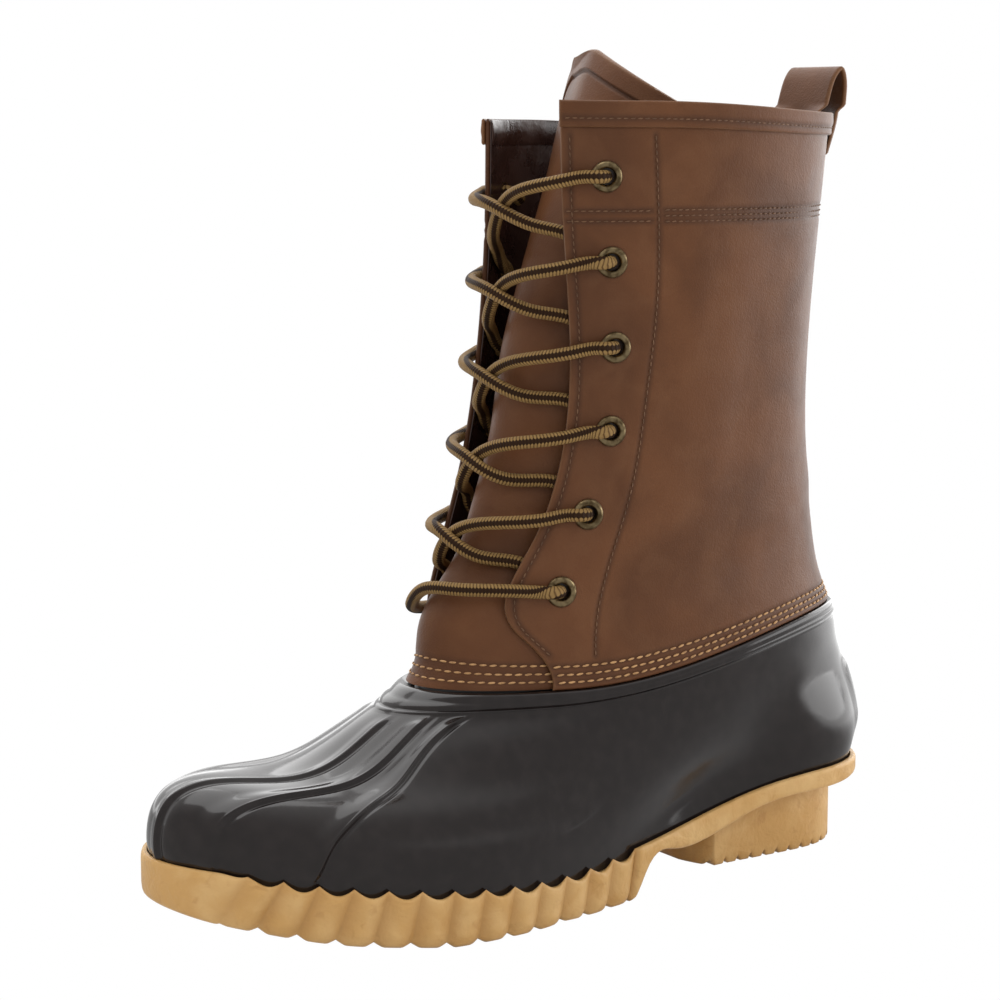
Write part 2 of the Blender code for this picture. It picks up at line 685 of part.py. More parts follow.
def heel_pad(phi, v):
    """Share of the raised pad behind the heel."""
    sideways = np.clip((HEEL_PAD_EDGE + HEEL_PAD_RAMP - np.abs(phi - math.pi)) / HEEL_PAD_RAMP, 0, 1)
    upright = np.clip(HEEL_PAD_LAND - abs(v / SHELL_TOP_V - HEEL_PAD_UP) / HEEL_PAD_REACH, 0, 1)
    return sideways * upright


def flange_depth(phi):
    """How deep the sewing flange lies: under two leathers in front, under one behind."""
    from_front = np.minimum(phi, 2 * math.pi - phi)
    two_leathers = np.clip((math.radians(100) - from_front) / math.radians(20), 0, 1)
    return LEATHER + GAP + two_leathers * (LEATHER + 3 * GAP + 0.5)


def make_shell(parts):
    """Rubber lower: one wall with pleats, a heel pad and a top band, and above it the flange for the leather."""
    band_v = SHELL_TOP_V - SHELL_BAND_HEIGHT
    flange_v = float(v_at_level(SHELL_TOP + FLANGE_HEIGHT))
    plain = np.linspace(0, band_v, 9)
    rows = [(v, 0.0, False) for v in plain]
    rows += [(band_v + 0.4, SHELL_BAND_RISE, False), (SHELL_TOP_V, SHELL_BAND_RISE, False)]
    rows += [(SHELL_TOP_V, 0.0, True), (flange_v, 0.0, True)]
    outside, inside = [], []
    for v, rise, flange in rows:
        phi, crest = shell_columns(min(v, SHELL_TOP_V))
        depth = flange_depth(phi)
        if flange:
            outside.append(offset_form(phi, v, -depth))
            inside.append(offset_form(phi, v, -depth - FLANGE_WALL))
            continue
        fade = np.clip(min((v - PLEAT_START) / PLEAT_EASE, (band_v - v) / PLEAT_EASE), 0, 1)
        lift = rise + crest * PLEAT_HEIGHT * fade + HEEL_PAD_RISE * heel_pad(phi, v)
        near_top = np.clip((v - band_v) / SHELL_BAND_HEIGHT, 0, 1)
        wall = SHELL_WALL + near_top * (depth + FLANGE_WALL - SHELL_WALL)
        outside.append(offset_form(phi, v, lift - waist(phi, v)))
        inside.append(offset_form(phi, v, -wall - waist(phi, v)))
    mesh = wall_between("shell", np.array(outside), np.array(inside), closed=True)
    return add_object("shell", mesh, parts, "gloss_rubber")


def quarter_grid(levels, columns, lift):
    """Points of the quarters' wrap, from one throat edge round the heel to the other, at an offset."""
    rows = []
    for level in levels:
        start = float(phi_at_x(edge_x(level, 1), level))
        end = 2 * math.pi + float(phi_at_x(edge_x(level, -1), level))
        phi = np.linspace(start, end, columns)
        rows.append(offset_form(phi, v_at_level(level), lift))
    return np.array(rows)


def make_quarters(parts, tools):
    """Leather shaft wall, open in front, above and below, with the eyelet holes cut through."""
    lobe = np.linspace(SHELL_TOP + GAP + 0.1, 118.0, 8)
    levels = np.concatenate([lobe, [130.0, 150.0, 175.0, 200.0, 228.0, 250.0, COLLAR_TOP]])
    columns = 29
    mesh = wall_between(
        "quarters", quarter_grid(levels, columns, 0.0), quarter_grid(levels, columns, -LEATHER), closed=False
    )
    quarters = add_object("quarters", mesh, parts, "brown_leather")
    holes = bpy.data.collections.new("eyelet_holes")
    tools.children.link(holes)
    punch = bpy.data.meshes.new("punch")
    shape = bmesh.new()
    bmesh.ops.create_cone(
        shape,
        cap_ends=True,
        segments=EYELET_SEGMENTS,
        radius1=EYELET_HOLE * MM,
        radius2=EYELET_HOLE * MM,
        depth=4 * LEATHER * MM,
    )
    shape.to_mesh(punch)
    shape.free()
    for side in (1, -1):
        for row in range(len(EYELETS)):
            tool = hide(add_object(f"punch_{side_name(side)}_{row + 1}", punch, holes))
            tool.matrix_world = eyelet_frame(side, row)
    return cut_by(quarters, holes, "DIFFERENCE")


def tongue_sheet(deeper, columns, shares):
    """One face of the vamp and tongue. shares run from its bottom edge to its rounded top."""
    table = np.array(TONGUE)
    rows = []
    for share in shares:
        across = np.linspace(-1, 1, columns)
        from_peak = np.abs(across - TONGUE_PEAK) / (1 - np.sign(across - TONGUE_PEAK) * TONGUE_PEAK)
        top = TONGUE_TOP - TONGUE_CORNER_DROP * from_peak**TONGUE_PEAK_POWER
        bottom = SHELL_TOP + GAP + 0.1
        level = bottom + (top - bottom) * share
        depth = spline(table[:, 0], table[:, 1:], level)
        ring = ring_at(v_at_level(np.minimum(level, COLLAR_TOP)))
        phi = across * depth[:, 2]
        length = (ring.back_y - ring.front_y) / 2
        x = (ring.half_width - depth[:, 1] - deeper) * np.sin(phi)
        y = ring.front_y + length - (length - depth[:, 0] - deeper) * np.cos(phi)
        z = ring_height(ring.front_z, ring.side_z, ring.back_z, share_along(phi)) - sag(phi, ring)
        rows.append(np.column_stack([x, y, z + np.maximum(level - COLLAR_TOP, 0)]))
    return np.array(rows)


def make_vamp_tongue(parts):
    """Vamp and tongue in one leather sheet under the quarters."""
    shares = np.concatenate([np.linspace(0, 0.24, 6), np.linspace(0.3, 1.0, 10)])
    columns = 11
    mesh = wall_between(
        "vamp_tongue", tongue_sheet(0.0, columns, shares), tongue_sheet(LEATHER, columns, shares), closed=False
    )
    return add_object("vamp_tongue", mesh, parts, "brown_leather")


def make_collar_band(parts):
    """Strip sewn round the outside of the collar."""
    levels = np.array([COLLAR_TOP - COLLAR_BAND_HEIGHT, COLLAR_TOP])
    columns = 41
    mesh = wall_between(
        "collar_band",
        quarter_grid(levels, columns, GAP + COLLAR_BAND_WALL),
        quarter_grid(levels, columns, GAP),
        closed=False,
    )
    return add_object("collar_band", mesh, parts, "brown_leather")


def make_pull_loop(parts):
    """Strap folded over the collar at the back: one leg outside the shaft, one inside, and a tight fold above. Its
    legs follow the collar's round back, and the fold is nearly straight."""
    walked = np.concatenate([[0.0], np.cumsum(np.linalg.norm(np.diff(LOOP, axis=0), axis=1))])
    at = np.linspace(0, walked[-1], LOOP_SEGMENTS + 1)
    line = spline(walked, LOOP, at)
    along = spline(walked, LOOP, at + 0.2) - spline(walked, LOOP, at - 0.2)
    along /= np.linalg.norm(along, axis=1, keepdims=True)
    normal = np.stack([along[:, 1], -along[:, 0]], -1)
    collar = RINGS[-1]
    bow = 2 * collar.half_width**2 / ((collar.back_y - collar.front_y) / 2)
    across = np.linspace(-LOOP_WIDTH / 2, LOOP_WIDTH / 2, 5)

    def sheet(lift):
        behind, height = (line + lift * normal).T[..., None]
        bowed = 1 - LOOP_FLATTENING * smooth_step((height - collar.back_z) / LOOP_EASE)
        y = collar.back_y + behind - bowed * across**2 / bow
        return np.stack([np.broadcast_to(across, y.shape), y, np.broadcast_to(height, y.shape)], -1)

    mesh = wall_between("pull_loop", sheet(LOOP_STRAP / 2), sheet(-LOOP_STRAP / 2), closed=False)
    return add_object("pull_loop", mesh, parts, "brown_leather")


def side_name(side):
    """Name of a side: +1 is the outer, little-toe side."""
    return "outer" if side > 0 else "inner"


def eyelet_frame(side, row):
    """Placement of an eyelet: its centre on the quarter's face and its axis along the face's normal."""
    phi = eyelet_phi(side, row)
    v = v_at_level(eyelet_level(side, row))
    centre = Vector(form(phi, v) * MM)
    turn = Vector(outward(phi, v)).to_track_quat("Z", "Y").to_matrix().to_4x4()
    return Matrix.Translation(centre) @ turn


def make_eyelets(parts):
    """Twelve turned brass eyelets, a rolled flange outside and a barrel through the leather."""
    profile = (
        (EYELET_RADIUS, 0.3),
        (EYELET_RADIUS - 0.3, 1.1),
        (EYELET_RADIUS - 1.5, 1.5),
        (EYELET_BORE, 0.8),
        (EYELET_BORE, -LEATHER - 0.5),
        (EYELET_BARREL, -LEATHER - 0.5),
        (EYELET_BARREL, 0.3),
    )
    section = bpy.data.meshes.new("eyelet_section")
    edges = [(i, (i + 1) % len(profile)) for i in range(len(profile))]
    section.from_pydata([(r * MM, 0, z * MM) for r, z in profile], edges, [])
    turned = add_object("eyelet_section", section, parts)
    screw = turned.modifiers.new("turn", "SCREW")
    screw.steps = screw.render_steps = EYELET_SEGMENTS
    screw.use_merge_vertices = True
    screw.merge_threshold = 1e-6
    graph = bpy.context.evaluated_depsgraph_get()
    mesh = bpy.data.meshes.new_from_object(turned.evaluated_get(graph))
    bpy.data.objects.remove(turned)
    shape = bmesh.new()
    shape.from_mesh(mesh)
    bmesh.ops.remove_doubles(shape, verts=shape.verts, dist=1e-7)
    bmesh.ops.recalc_face_normals(shape, faces=shape.faces)
    shape.to_mesh(mesh)
    shape.free()
    for side in (1, -1):
        for row in range(len(EYELETS)):
            eyelet = add_object(f"eyelet_{side_name(side)}_{row + 1}", mesh, parts, "antique_brass")
            eyelet.matrix_world = eyelet_frame(side, row)


def cord_mesh(name, route, parts):
    """A round cord along a smooth curve through the route's points, as a closed mesh object."""
    route = np.asarray(route)
    walked = np.concatenate([[0.0], np.cumsum(np.linalg.norm(np.diff(route, axis=0), axis=1))])
    points = spline(walked, route, np.linspace(0, walked[-1], max(6, round(walked[-1] / 8))))
    curve = bpy.data.curves.new(name, "CURVE")
    curve.dimensions = "3D"
    curve.bevel_depth = LACE_RADIUS * MM
    curve.bevel_resolution = 2
    curve.use_fill_caps = True
    line = curve.splines.new("POLY")
    line.points.add(len(points) - 1)
    for knot, point in zip(line.points, points):
        knot.co = (*(point * MM), 1.0)
    guide = bpy.data.objects.new(name + "_route", curve)
    parts.objects.link(guide)
    graph = bpy.context.evaluated_depsgraph_get()
    mesh = bpy.data.meshes.new_from_object(guide.evaluated_get(graph))
    bpy.data.objects.remove(guide)
    shape = bmesh.new()
    shape.from_mesh(mesh)
    bmesh.ops.remove_doubles(shape, verts=shape.verts, dist=1e-6)
    bmesh.ops.recalc_face_normals(shape, faces=shape.faces)
    shape.to_mesh(mesh)
    shape.free()
    return mesh


def lace_end(side, row):
    """Where a lace stops, on the leather just short of the eyelet's flange."""
    phi = eyelet_phi(side, row, EYELET_RADIUS + LACE_RADIUS * 0.6)
    return offset_form(phi, v_at_level(eyelet_level(side, row)), LACE_RADIUS + LACE_CLEAR)


def strand_route(side, row, over):
    """A crossing strand: from under the opposite quarter at the row below to the outside of this row's eyelet."""
    low, high = EYELETS[row - 1].outer_level, EYELETS[row].outer_level
    start = low + LACE_START * (high - low)
    on_leather = LACE_RADIUS + LACE_CLEAR
    under_edge = -LEATHER - on_leather
    crossing = 0.6 if over else -2.8
    from_x, to_x = float(edge_x(start, -side)), float(edge_x(high, side))
    return [
        throat_point(from_x - side * 2.0, start, under_edge),
        throat_point(from_x * 0.6, start + 0.2 * (high - start), under_edge + 0.3),
        throat_point(0.0, start + 0.5 * (high - start), crossing),
        throat_point(to_x * 0.62, start + 0.8 * (high - start), on_leather - 0.8),
        throat_point(to_x + side * 0.5, start + 0.93 * (high - start), on_leather + 0.1),
        lace_end(side, row),
    ]


def make_laces(parts, tools):
    """A straight bar at the lowest eyelets and a joined crossing for each row above."""
    on_leather = LACE_RADIUS + LACE_CLEAR
    route = [lace_end(1, 0)]
    for share, lift in ((1.0, on_leather), (0.5, 0.6), (0.0, -0.6), (-0.5, 0.6), (-1.0, on_leather)):
        side = 1 if share >= 0 else -1
        level = np.interp(share, (-1, 1), (EYELETS[0].inner_level, EYELETS[0].outer_level))
        route.append(throat_point(abs(share) * float(edge_x(level, side)), level, lift))
    route.append(lace_end(-1, 0))
    add_object("lace_bar", cord_mesh("lace_bar", route, parts), parts, "lace_cord")
    for row in range(1, len(EYELETS)):
        name = f"lace_crossing_{row}"
        lower = add_object(name, cord_mesh(name, strand_route(1, row, False), parts), parts, "lace_cord")
        upper_mesh = cord_mesh(name + "_over", strand_route(-1, row, True), parts)
        cut_by(lower, hide(add_object(name + "_over", upper_mesh, tools)), "UNION")


def main():
    for old in list(bpy.data.objects):
        bpy.data.objects.remove(old)
    parts = bpy.data.collections.new("ankle_boot")
    tools = bpy.data.collections.new("cutters")
    for collection in (parts, tools):
        bpy.context.scene.collection.children.link(collection)
    make_outsole(parts, tools)
    make_insole(parts)
    make_shell(parts)
    make_quarters(parts, tools)
    make_vamp_tongue(parts)
    make_collar_band(parts)
    make_pull_loop(parts)
    make_eyelets(parts)
    make_laces(parts, tools)
    boot = bpy.data.objects.new("boot", None)
    boot.location = Vector(CENTRING) * MM
    parts.objects.link(boot)
    for piece in [*parts.objects, *tools.all_objects]:
        if piece is not boot:
            piece.parent = boot


if __name__ == "__main__":
    main()
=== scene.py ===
"""Dresses the lace-up ankle boot: leather shaft, rubber shell, gum sole, lace, eyelets and stitching.

The boot's form is drawn again here from its sole stations and rings, in millimetres, with the toe to -Y,
the outer side to +X and the floor at Z = 0. Every piece is cut from that form, at a finer pitch than the
solids it stands for.
"""

from __future__ import annotations

import logging
import math
from dataclasses import dataclass
from enum import Enum
from functools import cached_property
from typing import Callable, NamedTuple, Sequence

import bmesh
import bpy
import numpy as np
from mathutils import Matrix, Vector
from mathutils.kdtree import KDTree


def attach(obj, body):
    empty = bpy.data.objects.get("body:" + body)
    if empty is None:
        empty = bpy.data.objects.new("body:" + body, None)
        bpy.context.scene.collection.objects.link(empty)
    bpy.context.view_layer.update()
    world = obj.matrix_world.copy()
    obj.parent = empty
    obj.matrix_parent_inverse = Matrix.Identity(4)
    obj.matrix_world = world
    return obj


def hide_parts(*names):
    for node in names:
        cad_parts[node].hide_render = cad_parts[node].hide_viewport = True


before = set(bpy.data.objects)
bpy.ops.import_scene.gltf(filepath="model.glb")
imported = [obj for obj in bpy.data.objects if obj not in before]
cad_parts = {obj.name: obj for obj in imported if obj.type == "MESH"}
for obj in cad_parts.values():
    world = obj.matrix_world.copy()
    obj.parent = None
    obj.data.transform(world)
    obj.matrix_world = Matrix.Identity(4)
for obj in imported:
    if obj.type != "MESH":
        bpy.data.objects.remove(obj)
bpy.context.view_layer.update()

LOG = logging.getLogger("ankle_boot")
MM = 0.001
GAP = 0.3
LEATHER = 1.8
ABOVE_SHELL = 0.4
SHARP_ANGLE = math.radians(60)
FULL_TURN = 2 * math.pi
CENTRING = np.array([-0.2, -3.7, 0.0])

Array = np.ndarray
Material = bpy.types.Material
Mesh = bpy.types.Mesh
Object = bpy.types.Object
Colour = tuple[float, float, float]
Pair = tuple[float, float]
Pairs = tuple[Pair, ...]
Span = tuple[float, float, int]
Marks = dict[str, Array]


class Side(Enum):
    """The two sides of the left boot: the outer one carries the little toe."""

    OUTER = 1
    INNER = -1


class Slot(Enum):
    """Material slots of the record."""

    SOLE = "gum_rubber"
    SHELL = "gloss_rubber"
    LEATHER = "brown_leather"
    FOOTBED = "footbed"
    EYELETS = "antique_brass"
    LACE = "lace_cord"


class SoleStation(NamedTuple):
    """Plan and heights of the sole at a share of its length; edges are shares of half the ball width."""

    along: float
    outer: float
    inner: float
    top: float
    bottom: float


class Ring(NamedTuple):
    """One ring of the upper: its places on the centre plane, side height, widths and blend to the foot."""

    front_y: float
    front_z: float
    side_z: float
    back_y: float
    back_z: float
    front_width: float
    half_width: float
    foot: float
    inner_sag: float
    inner_flare: float


class ThroatEdge(NamedTuple):
    """Distance of each quarter's front edge from the centre plane, at a height."""

    level: float
    outer: float
    inner: float


class EyeletRow(NamedTuple):
    """Heights of a pair of eyelets and their distance behind the quarter's edge."""

    outer_level: float
    inner_level: float
    setback: float


class TongueRow(NamedTuple):
    """How deep the tongue lies under the form, in front and at its side, and its edge in degrees."""

    level: float
    front_depth: float
    side_depth: float
    edge: float


class Crease(NamedTuple):
    """A soft trough (depth above 0) or ridge (below 0) of the leather, as seen from its side."""

    side: Side
    y: float
    z: float
    tilt: float
    length: float
    width: float
    depth: float


def spline(knots: Sequence[float], rows: Sequence, at: Array) -> Array:
    """Natural cubic spline.

    Args:
        knots: places of the rows, rising.
        rows: one row of values for each knot.
        at: places to read.

    Returns:
        The rows read at those places.
    """
    t = np.asarray(knots, float)
    rows = np.asarray(rows, float).reshape(len(t), -1)
    step = np.diff(t)
    system = np.eye(len(t))
    pull = np.zeros_like(rows)
    for k in range(1, len(t) - 1):
        system[k, k - 1 : k + 2] = step[k - 1], 2 * (step[k - 1] + step[k]), step[k]
        pull[k] = 6 * ((rows[k + 1] - rows[k]) / step[k] - (rows[k] - rows[k - 1]) / step[k - 1])
    bend = np.linalg.solve(system, pull)
    at = np.clip(np.asarray(at, float), t[0], t[-1])
    k = np.clip(np.searchsorted(t, at) - 1, 0, len(t) - 2)
    h = step[k][..., None]
    a = (t[k + 1] - at)[..., None] / h
    b = 1 - a
    return a * rows[k] + b * rows[k + 1] + ((a**3 - a) * bend[k] + (b**3 - b) * bend[k + 1]) * h**2 / 6


def smooth_step(t: Array) -> Array:
    """Eases from 0 to 1 as t goes from 0 to 1."""
    t = np.clip(t, 0, 1)
    return t * t * (3 - 2 * t)


def hump(t: Array) -> Array:
    """A round hump: 1 at t = 0, falling to 0 at t = 1 and -1."""
    return np.cos(np.clip(t, -1, 1) * math.pi / 2) ** 2


def walked(points: Array) -> Array:
    """Length walked along a row of points, from 0."""
    return np.concatenate([[0.0], np.cumsum(np.linalg.norm(np.diff(points, axis=0), axis=1))])


def heading(lengths: Array, points: Sequence, at: Array, step: float = 0.2) -> Array:
    """Ways of a spline through points, at these lengths along it."""
    return spline(lengths, points, at + step) - spline(lengths, points, at - step)


def fine_steps(stops: Sequence[tuple[float, float]]) -> Array:
    """Places whose spacing changes from stretch to stretch.

    Args:
        stops: pairs of a stretch's start and its spacing; the last pair's place ends the list.

    Returns:
        Rising places, with every stretch divided evenly.
    """
    places = []
    for (start, pitch), (end, _) in zip(stops[:-1], stops[1:]):
        count = max(1, round((end - start) / pitch))
        places.append(np.linspace(start, end, count, endpoint=False))
    return np.concatenate([*places, [stops[-1][0]]])


@dataclass
class Last:
    """The boot's form in millimetres: the plan of its sole and the stack of rings above it."""

    sole_front: float = -139.5
    sole_back: float = 144.0
    ball_width: float = 100.0
    shell_top: float = 75.5
    collar_top: float = 269.0
    tongue_top: float = 290.1
    tongue_corner_drop: float = 21.6
    tongue_peak: float = -0.47
    tongue_peak_power: float = 1.3
    lip_height: float = 3.2
    shell_inset: float = 3.3
    shell_top_ring: int = 7
    front_fall: int = 4
    climb_from: float = 0.25
    climb_run: float = 0.7
    back_haste: float = 1.5
    back_from: float = 0.46
    back_run: float = 0.28
    side_blend: float = 0.2
    sag_start: float = math.radians(30)
    sag_end: float = math.radians(100)
    flare_at: float = math.radians(35)
    flare_spread: float = math.radians(30)
    flare_way: Pair = (0.78, 0.62)
    angle_step: float = 1e-3
    place_step: float = 0.05
    level_samples: int = 400
    edge_search: Span = (-0.2, 1.2, 280)
    sole: tuple[SoleStation, ...] = (
        SoleStation(0.00, -0.04, 0.04, 31.6, 17.5),
        SoleStation(0.03, 0.36, 0.46, 30.8, 14.5),
        SoleStation(0.08, 0.58, 0.71, 28.5, 10.8),
        SoleStation(0.15, 0.77, 0.88, 24.6, 6.0),
        SoleStation(0.25, 0.93, 0.985, 20.2, 1.6),
        SoleStation(0.36, 1.00, 0.95, 17.0, -1.0),
        SoleStation(0.50, 0.90, 0.73, 16.2, -1.6),
        SoleStation(0.574, 0.805, 0.65, 18.1, 3.0),
        SoleStation(0.588, 0.786, 0.637, 18.5, 9.6),
        SoleStation(0.64, 0.72, 0.61, 20.4, 13.4),
        SoleStation(0.78, 0.67, 0.64, 28.4, 21.6),
        SoleStation(0.90, 0.66, 0.64, 31.4, 24.2),
        SoleStation(0.97, 0.44, 0.43, 31.2, 25.0),
        SoleStation(1.00, 0.00, 0.00, 31.0, 25.4),
    )
    rings: tuple[Ring, ...] = (
        Ring(-136.2, 28.7, 13.3, 140.7, 28.1, 46.7, 46.7, 1.00, 0.0, 0.0),
        Ring(-137.9, 37.5, 28.5, 145.5, 44.0, 46.9, 47.0, 0.88, 0.0, 0.0),
        Ring(-134.3, 49.6, 33.5, 144.8, 55.0, 46.2, 44.5, 0.65, 0.0, 0.0),
        Ring(-119.8, 55.8, 40.8, 142.8, 62.5, 45.0, 42.0, 0.43, 0.0, 0.0),
        Ring(-97.1, 54.4, 48.5, 141.4, 68.0, 41.2, 40.0, 0.20, 0.0, 0.0),
        Ring(-77.3, 58.5, 60.5, 139.2, 74.0, 35.6, 39.0, 0.05, 0.0, 0.0),
        Ring(-61.2, 66.6, 67.0, 137.7, 80.5, 32.8, 38.3, 0.00, 0.0, 0.0),
        Ring(-44.1, 75.5, 74.3, 134.3, 88.7, 37.7, 38.0, 0.00, 0.0, 0.0),
        Ring(-39.5, 96.0, 92.0, 128.3, 103.0, 36.5, 36.5, 0.00, 5.0, 0.4),
        Ring(-32.5, 119.0, 116.0, 123.8, 128.0, 36.0, 36.0, 0.00, 6.5, 2.0),
        Ring(-20.0, 150.0, 150.0, 120.5, 155.0, 37.0, 37.0, 0.00, 5.5, 2.4),
        Ring(-12.5, 186.0, 186.0, 120.2, 188.0, 39.0, 39.0, 0.00, 5.5, 1.6),
        Ring(-9.5, 228.0, 228.0, 123.4, 228.0, 41.0, 41.0, 0.00, 6.2, 0.2),
        Ring(-8.4, 269.0, 268.4, 127.0, 264.7, 42.5, 42.5, 0.00, 6.2, 0.0),
    )
    throat: tuple[ThroatEdge, ...] = (
        ThroatEdge(75.0, 31.0, 31.0),
        ThroatEdge(84.0, 29.3, 29.0),
        ThroatEdge(92.0, 27.0, 26.0),
        ThroatEdge(99.0, 24.0, 22.5),
        ThroatEdge(106.0, 22.3, 20.5),
        ThroatEdge(114.0, 22.4, 20.0),
        ThroatEdge(128.0, 24.2, 20.3),
        ThroatEdge(150.0, 25.6, 20.8),
        ThroatEdge(190.0, 25.2, 21.5),
        ThroatEdge(230.0, 23.0, 22.0),
        ThroatEdge(268.0, 22.0, 22.0),
    )
    eyelets: tuple[EyeletRow, ...] = (
        EyeletRow(111.0, 105.0, 18.0),
        EyeletRow(134.0, 134.0, 14.5),
        EyeletRow(160.0, 160.0, 15.2),
        EyeletRow(188.0, 188.0, 15.2),
        EyeletRow(216.0, 216.0, 15.4),
        EyeletRow(244.0, 244.0, 15.0),
    )
    tongue: tuple[TongueRow, ...] = (
        TongueRow(75.0, 0.4, 2.9, 72.0),
        TongueRow(88.0, 0.9, 2.9, 69.0),
        TongueRow(98.0, 2.2, 3.0, 66.0),
        TongueRow(107.0, 5.2, 4.8, 64.0),
        TongueRow(117.0, 8.6, 8.4, 62.0),
        TongueRow(132.0, 8.8, 8.4, 62.0),
        TongueRow(160.0, 8.6, 8.2, 62.0),
        TongueRow(188.0, 8.8, 8.0, 62.0),
        TongueRow(208.0, 13.5, 7.0, 61.0),
        TongueRow(228.0, 20.0, 5.6, 60.0),
        TongueRow(248.0, 27.5, 5.0, 60.0),
        TongueRow(268.0, 34.0, 4.8, 60.0),
        TongueRow(286.0, 41.5, 4.8, 60.0),
    )

    @property
    def sole_length(self) -> float:
        """Length of the sole."""
        return self.sole_back - self.sole_front

    @staticmethod
    def share_along(phi: Array) -> Array:
        """Share of the length from the toe at angle phi, the same on both sides."""
        return (1 - np.cos(phi)) / 2

    @cached_property
    def outline_knots(self) -> tuple[Array, Array]:
        """Angles and x places of the sole's edge, three turns of them, so that the spline closes."""
        phi = np.arccos(1 - 2 * np.array([row.along for row in self.sole]))
        phi = np.concatenate([phi, FULL_TURN - phi[-2:0:-1]])
        shares = [row.outer for row in self.sole] + [-row.inner for row in self.sole[-2:0:-1]]
        turns = np.concatenate([phi - FULL_TURN, phi, phi + FULL_TURN])
        return turns, np.tile(self.ball_width / 2 * np.array(shares), 3)

    def outline(self, phi: Array, inset: Array | float = 0.0) -> Array:
        """Plan of the sole's edge.

        Args:
            phi: angles, 0 at the toe and pi at the heel.
            inset: distance inwards.

        Returns:
            Points (x, y).
        """

        def edge(angle: Array) -> Array:
            """The edge itself."""
            x = spline(*self.outline_knots, angle)[..., 0]
            return np.stack([x, self.sole_front + self.sole_length * self.share_along(angle)], -1)

        phi = np.asarray(phi, float)
        along = edge(phi + self.angle_step) - edge(phi - self.angle_step)
        along /= np.linalg.norm(along, axis=-1, keepdims=True)
        out = np.stack([along[..., 1], -along[..., 0]], -1)
        return edge(phi) - out * np.asarray(inset, float)[..., None]

    def sole_height(self, y: Array, column: str) -> Array:
        """Height of the rand's "top" or "bottom" edge at y, no lower than the floor."""
        along = (np.asarray(y, float) - self.sole_front) / self.sole_length
        heights = [getattr(row, column) for row in self.sole]
        return np.maximum(spline([row.along for row in self.sole], heights, along)[..., 0], 0.0)

    def seat_height(self, y: Array) -> Array:
        """Height of the sole's upper face."""
        return self.sole_height(y, "top") - self.lip_height

    @cached_property
    def ring_knots(self) -> Array:
        """Spacing of the rings: the mean of the steps in front, at the side and behind."""
        table = np.array(self.rings)
        front = np.hypot(*np.diff(table[:, 0:2], axis=0).T)
        back = np.hypot(*np.diff(table[:, 3:5], axis=0).T)
        side = np.abs(np.diff(table[:, 2]))
        return np.concatenate([[0.0], np.cumsum((front + back + side) / 3)])

    @property
    def shell_top_v(self) -> float:
        """Place of the shell's top ring."""
        return float(self.ring_knots[self.shell_top_ring])

    @property
    def collar_v(self) -> float:
        """Place of the collar's ring."""
        return float(self.ring_knots[-1])

    def ring_at(self, v: Array) -> Ring:
        """The ring's columns at the places v, each an array."""
        return Ring(*np.moveaxis(spline(self.ring_knots, self.rings, v), -1, 0))

    def ring_height(self, ring: Ring, along: Array) -> Array:
        """Height along a ring: from its front down to its side, level there, then up to its back."""
        front = np.clip(1 - 2 * along, 0, 1) ** self.front_fall
        back = smooth_step((along - self.climb_from) / self.climb_run)
        return ring.side_z + (ring.front_z - ring.side_z) * front + (ring.back_z - ring.side_z) * back

    def sag(self, phi: Array, ring: Ring) -> Array:
        """How far the inner side sits below the outer one at angle phi."""
        inner = (-phi) % FULL_TURN
        share = smooth_step(inner / self.sag_start) * smooth_step((math.pi - inner) / self.sag_end)
        return ring.inner_sag * share * (inner < math.pi)

    def outer_share(self, phi: Array) -> Array:
        """1 on the outer side, 0 on the inner side, and a blend near the centre plane."""
        return smooth_step((np.sin(phi) + self.side_blend) / (2 * self.side_blend))

    def form(self, phi: Array, v: Array) -> Array:
        """Points of the upper's outside.

        Args:
            phi: angles round the boot.
            v: places from the sole (0) to the collar.

        Returns:
            Points (x, y, z).
        """
        phi, v = np.broadcast_arrays(np.asarray(phi, float), np.asarray(v, float))
        ring = self.ring_at(v)
        plan = self.outline(phi, self.shell_inset)
        ends = self.outline(np.array([0.0, math.pi]), self.shell_inset)[:, 1]
        along = (plan[..., 1] - ends[0]) / (ends[1] - ends[0])
        width = ring.half_width + (ring.front_width - ring.half_width) * smooth_step(1 - 2 * along)
        first = self.rings[0]
        late = smooth_step((along - self.back_from) / self.back_run) * self.outer_share(phi)
        foot = np.clip(ring.foot, 0, 1) ** (1 + self.back_haste * late)
        x = width * (foot * plan[..., 0] / first.half_width + (1 - foot) * np.sin(phi))
        along = foot * along + (1 - foot) * self.share_along(phi)
        y = ring.front_y + (ring.back_y - ring.front_y) * along
        settle = self.seat_height(y) + GAP - self.ring_height(first, along)
        z = self.ring_height(ring, along) + np.clip(1 - v / self.shell_top_v, 0, 1) ** 2 * settle
        from_flare = (phi + self.flare_at + math.pi) % FULL_TURN - math.pi
        flare = ring.inner_flare * np.exp(-((from_flare / self.flare_spread) ** 2))
        x = x - flare * self.flare_way[0]
        y = y - flare * self.flare_way[1]
        return np.stack([x, y, z - self.sag(phi, ring)], -1)

    def outward(self, phi: Array, v: Array) -> Array:
        """Normals of the form.

        Args:
            phi: angles round the boot.
            v: places from the sole to the collar.

        Returns:
            Unit vectors that point out.
        """
        turn, rise = self.angle_step, self.place_step
        v = np.clip(np.asarray(v, float), rise, self.collar_v - rise)
        round_it = self.form(phi + turn, v) - self.form(phi - turn, v)
        up_it = self.form(phi, v + rise) - self.form(phi, v - rise)
        normal = np.cross(round_it, up_it)
        return normal / np.linalg.norm(normal, axis=-1, keepdims=True)

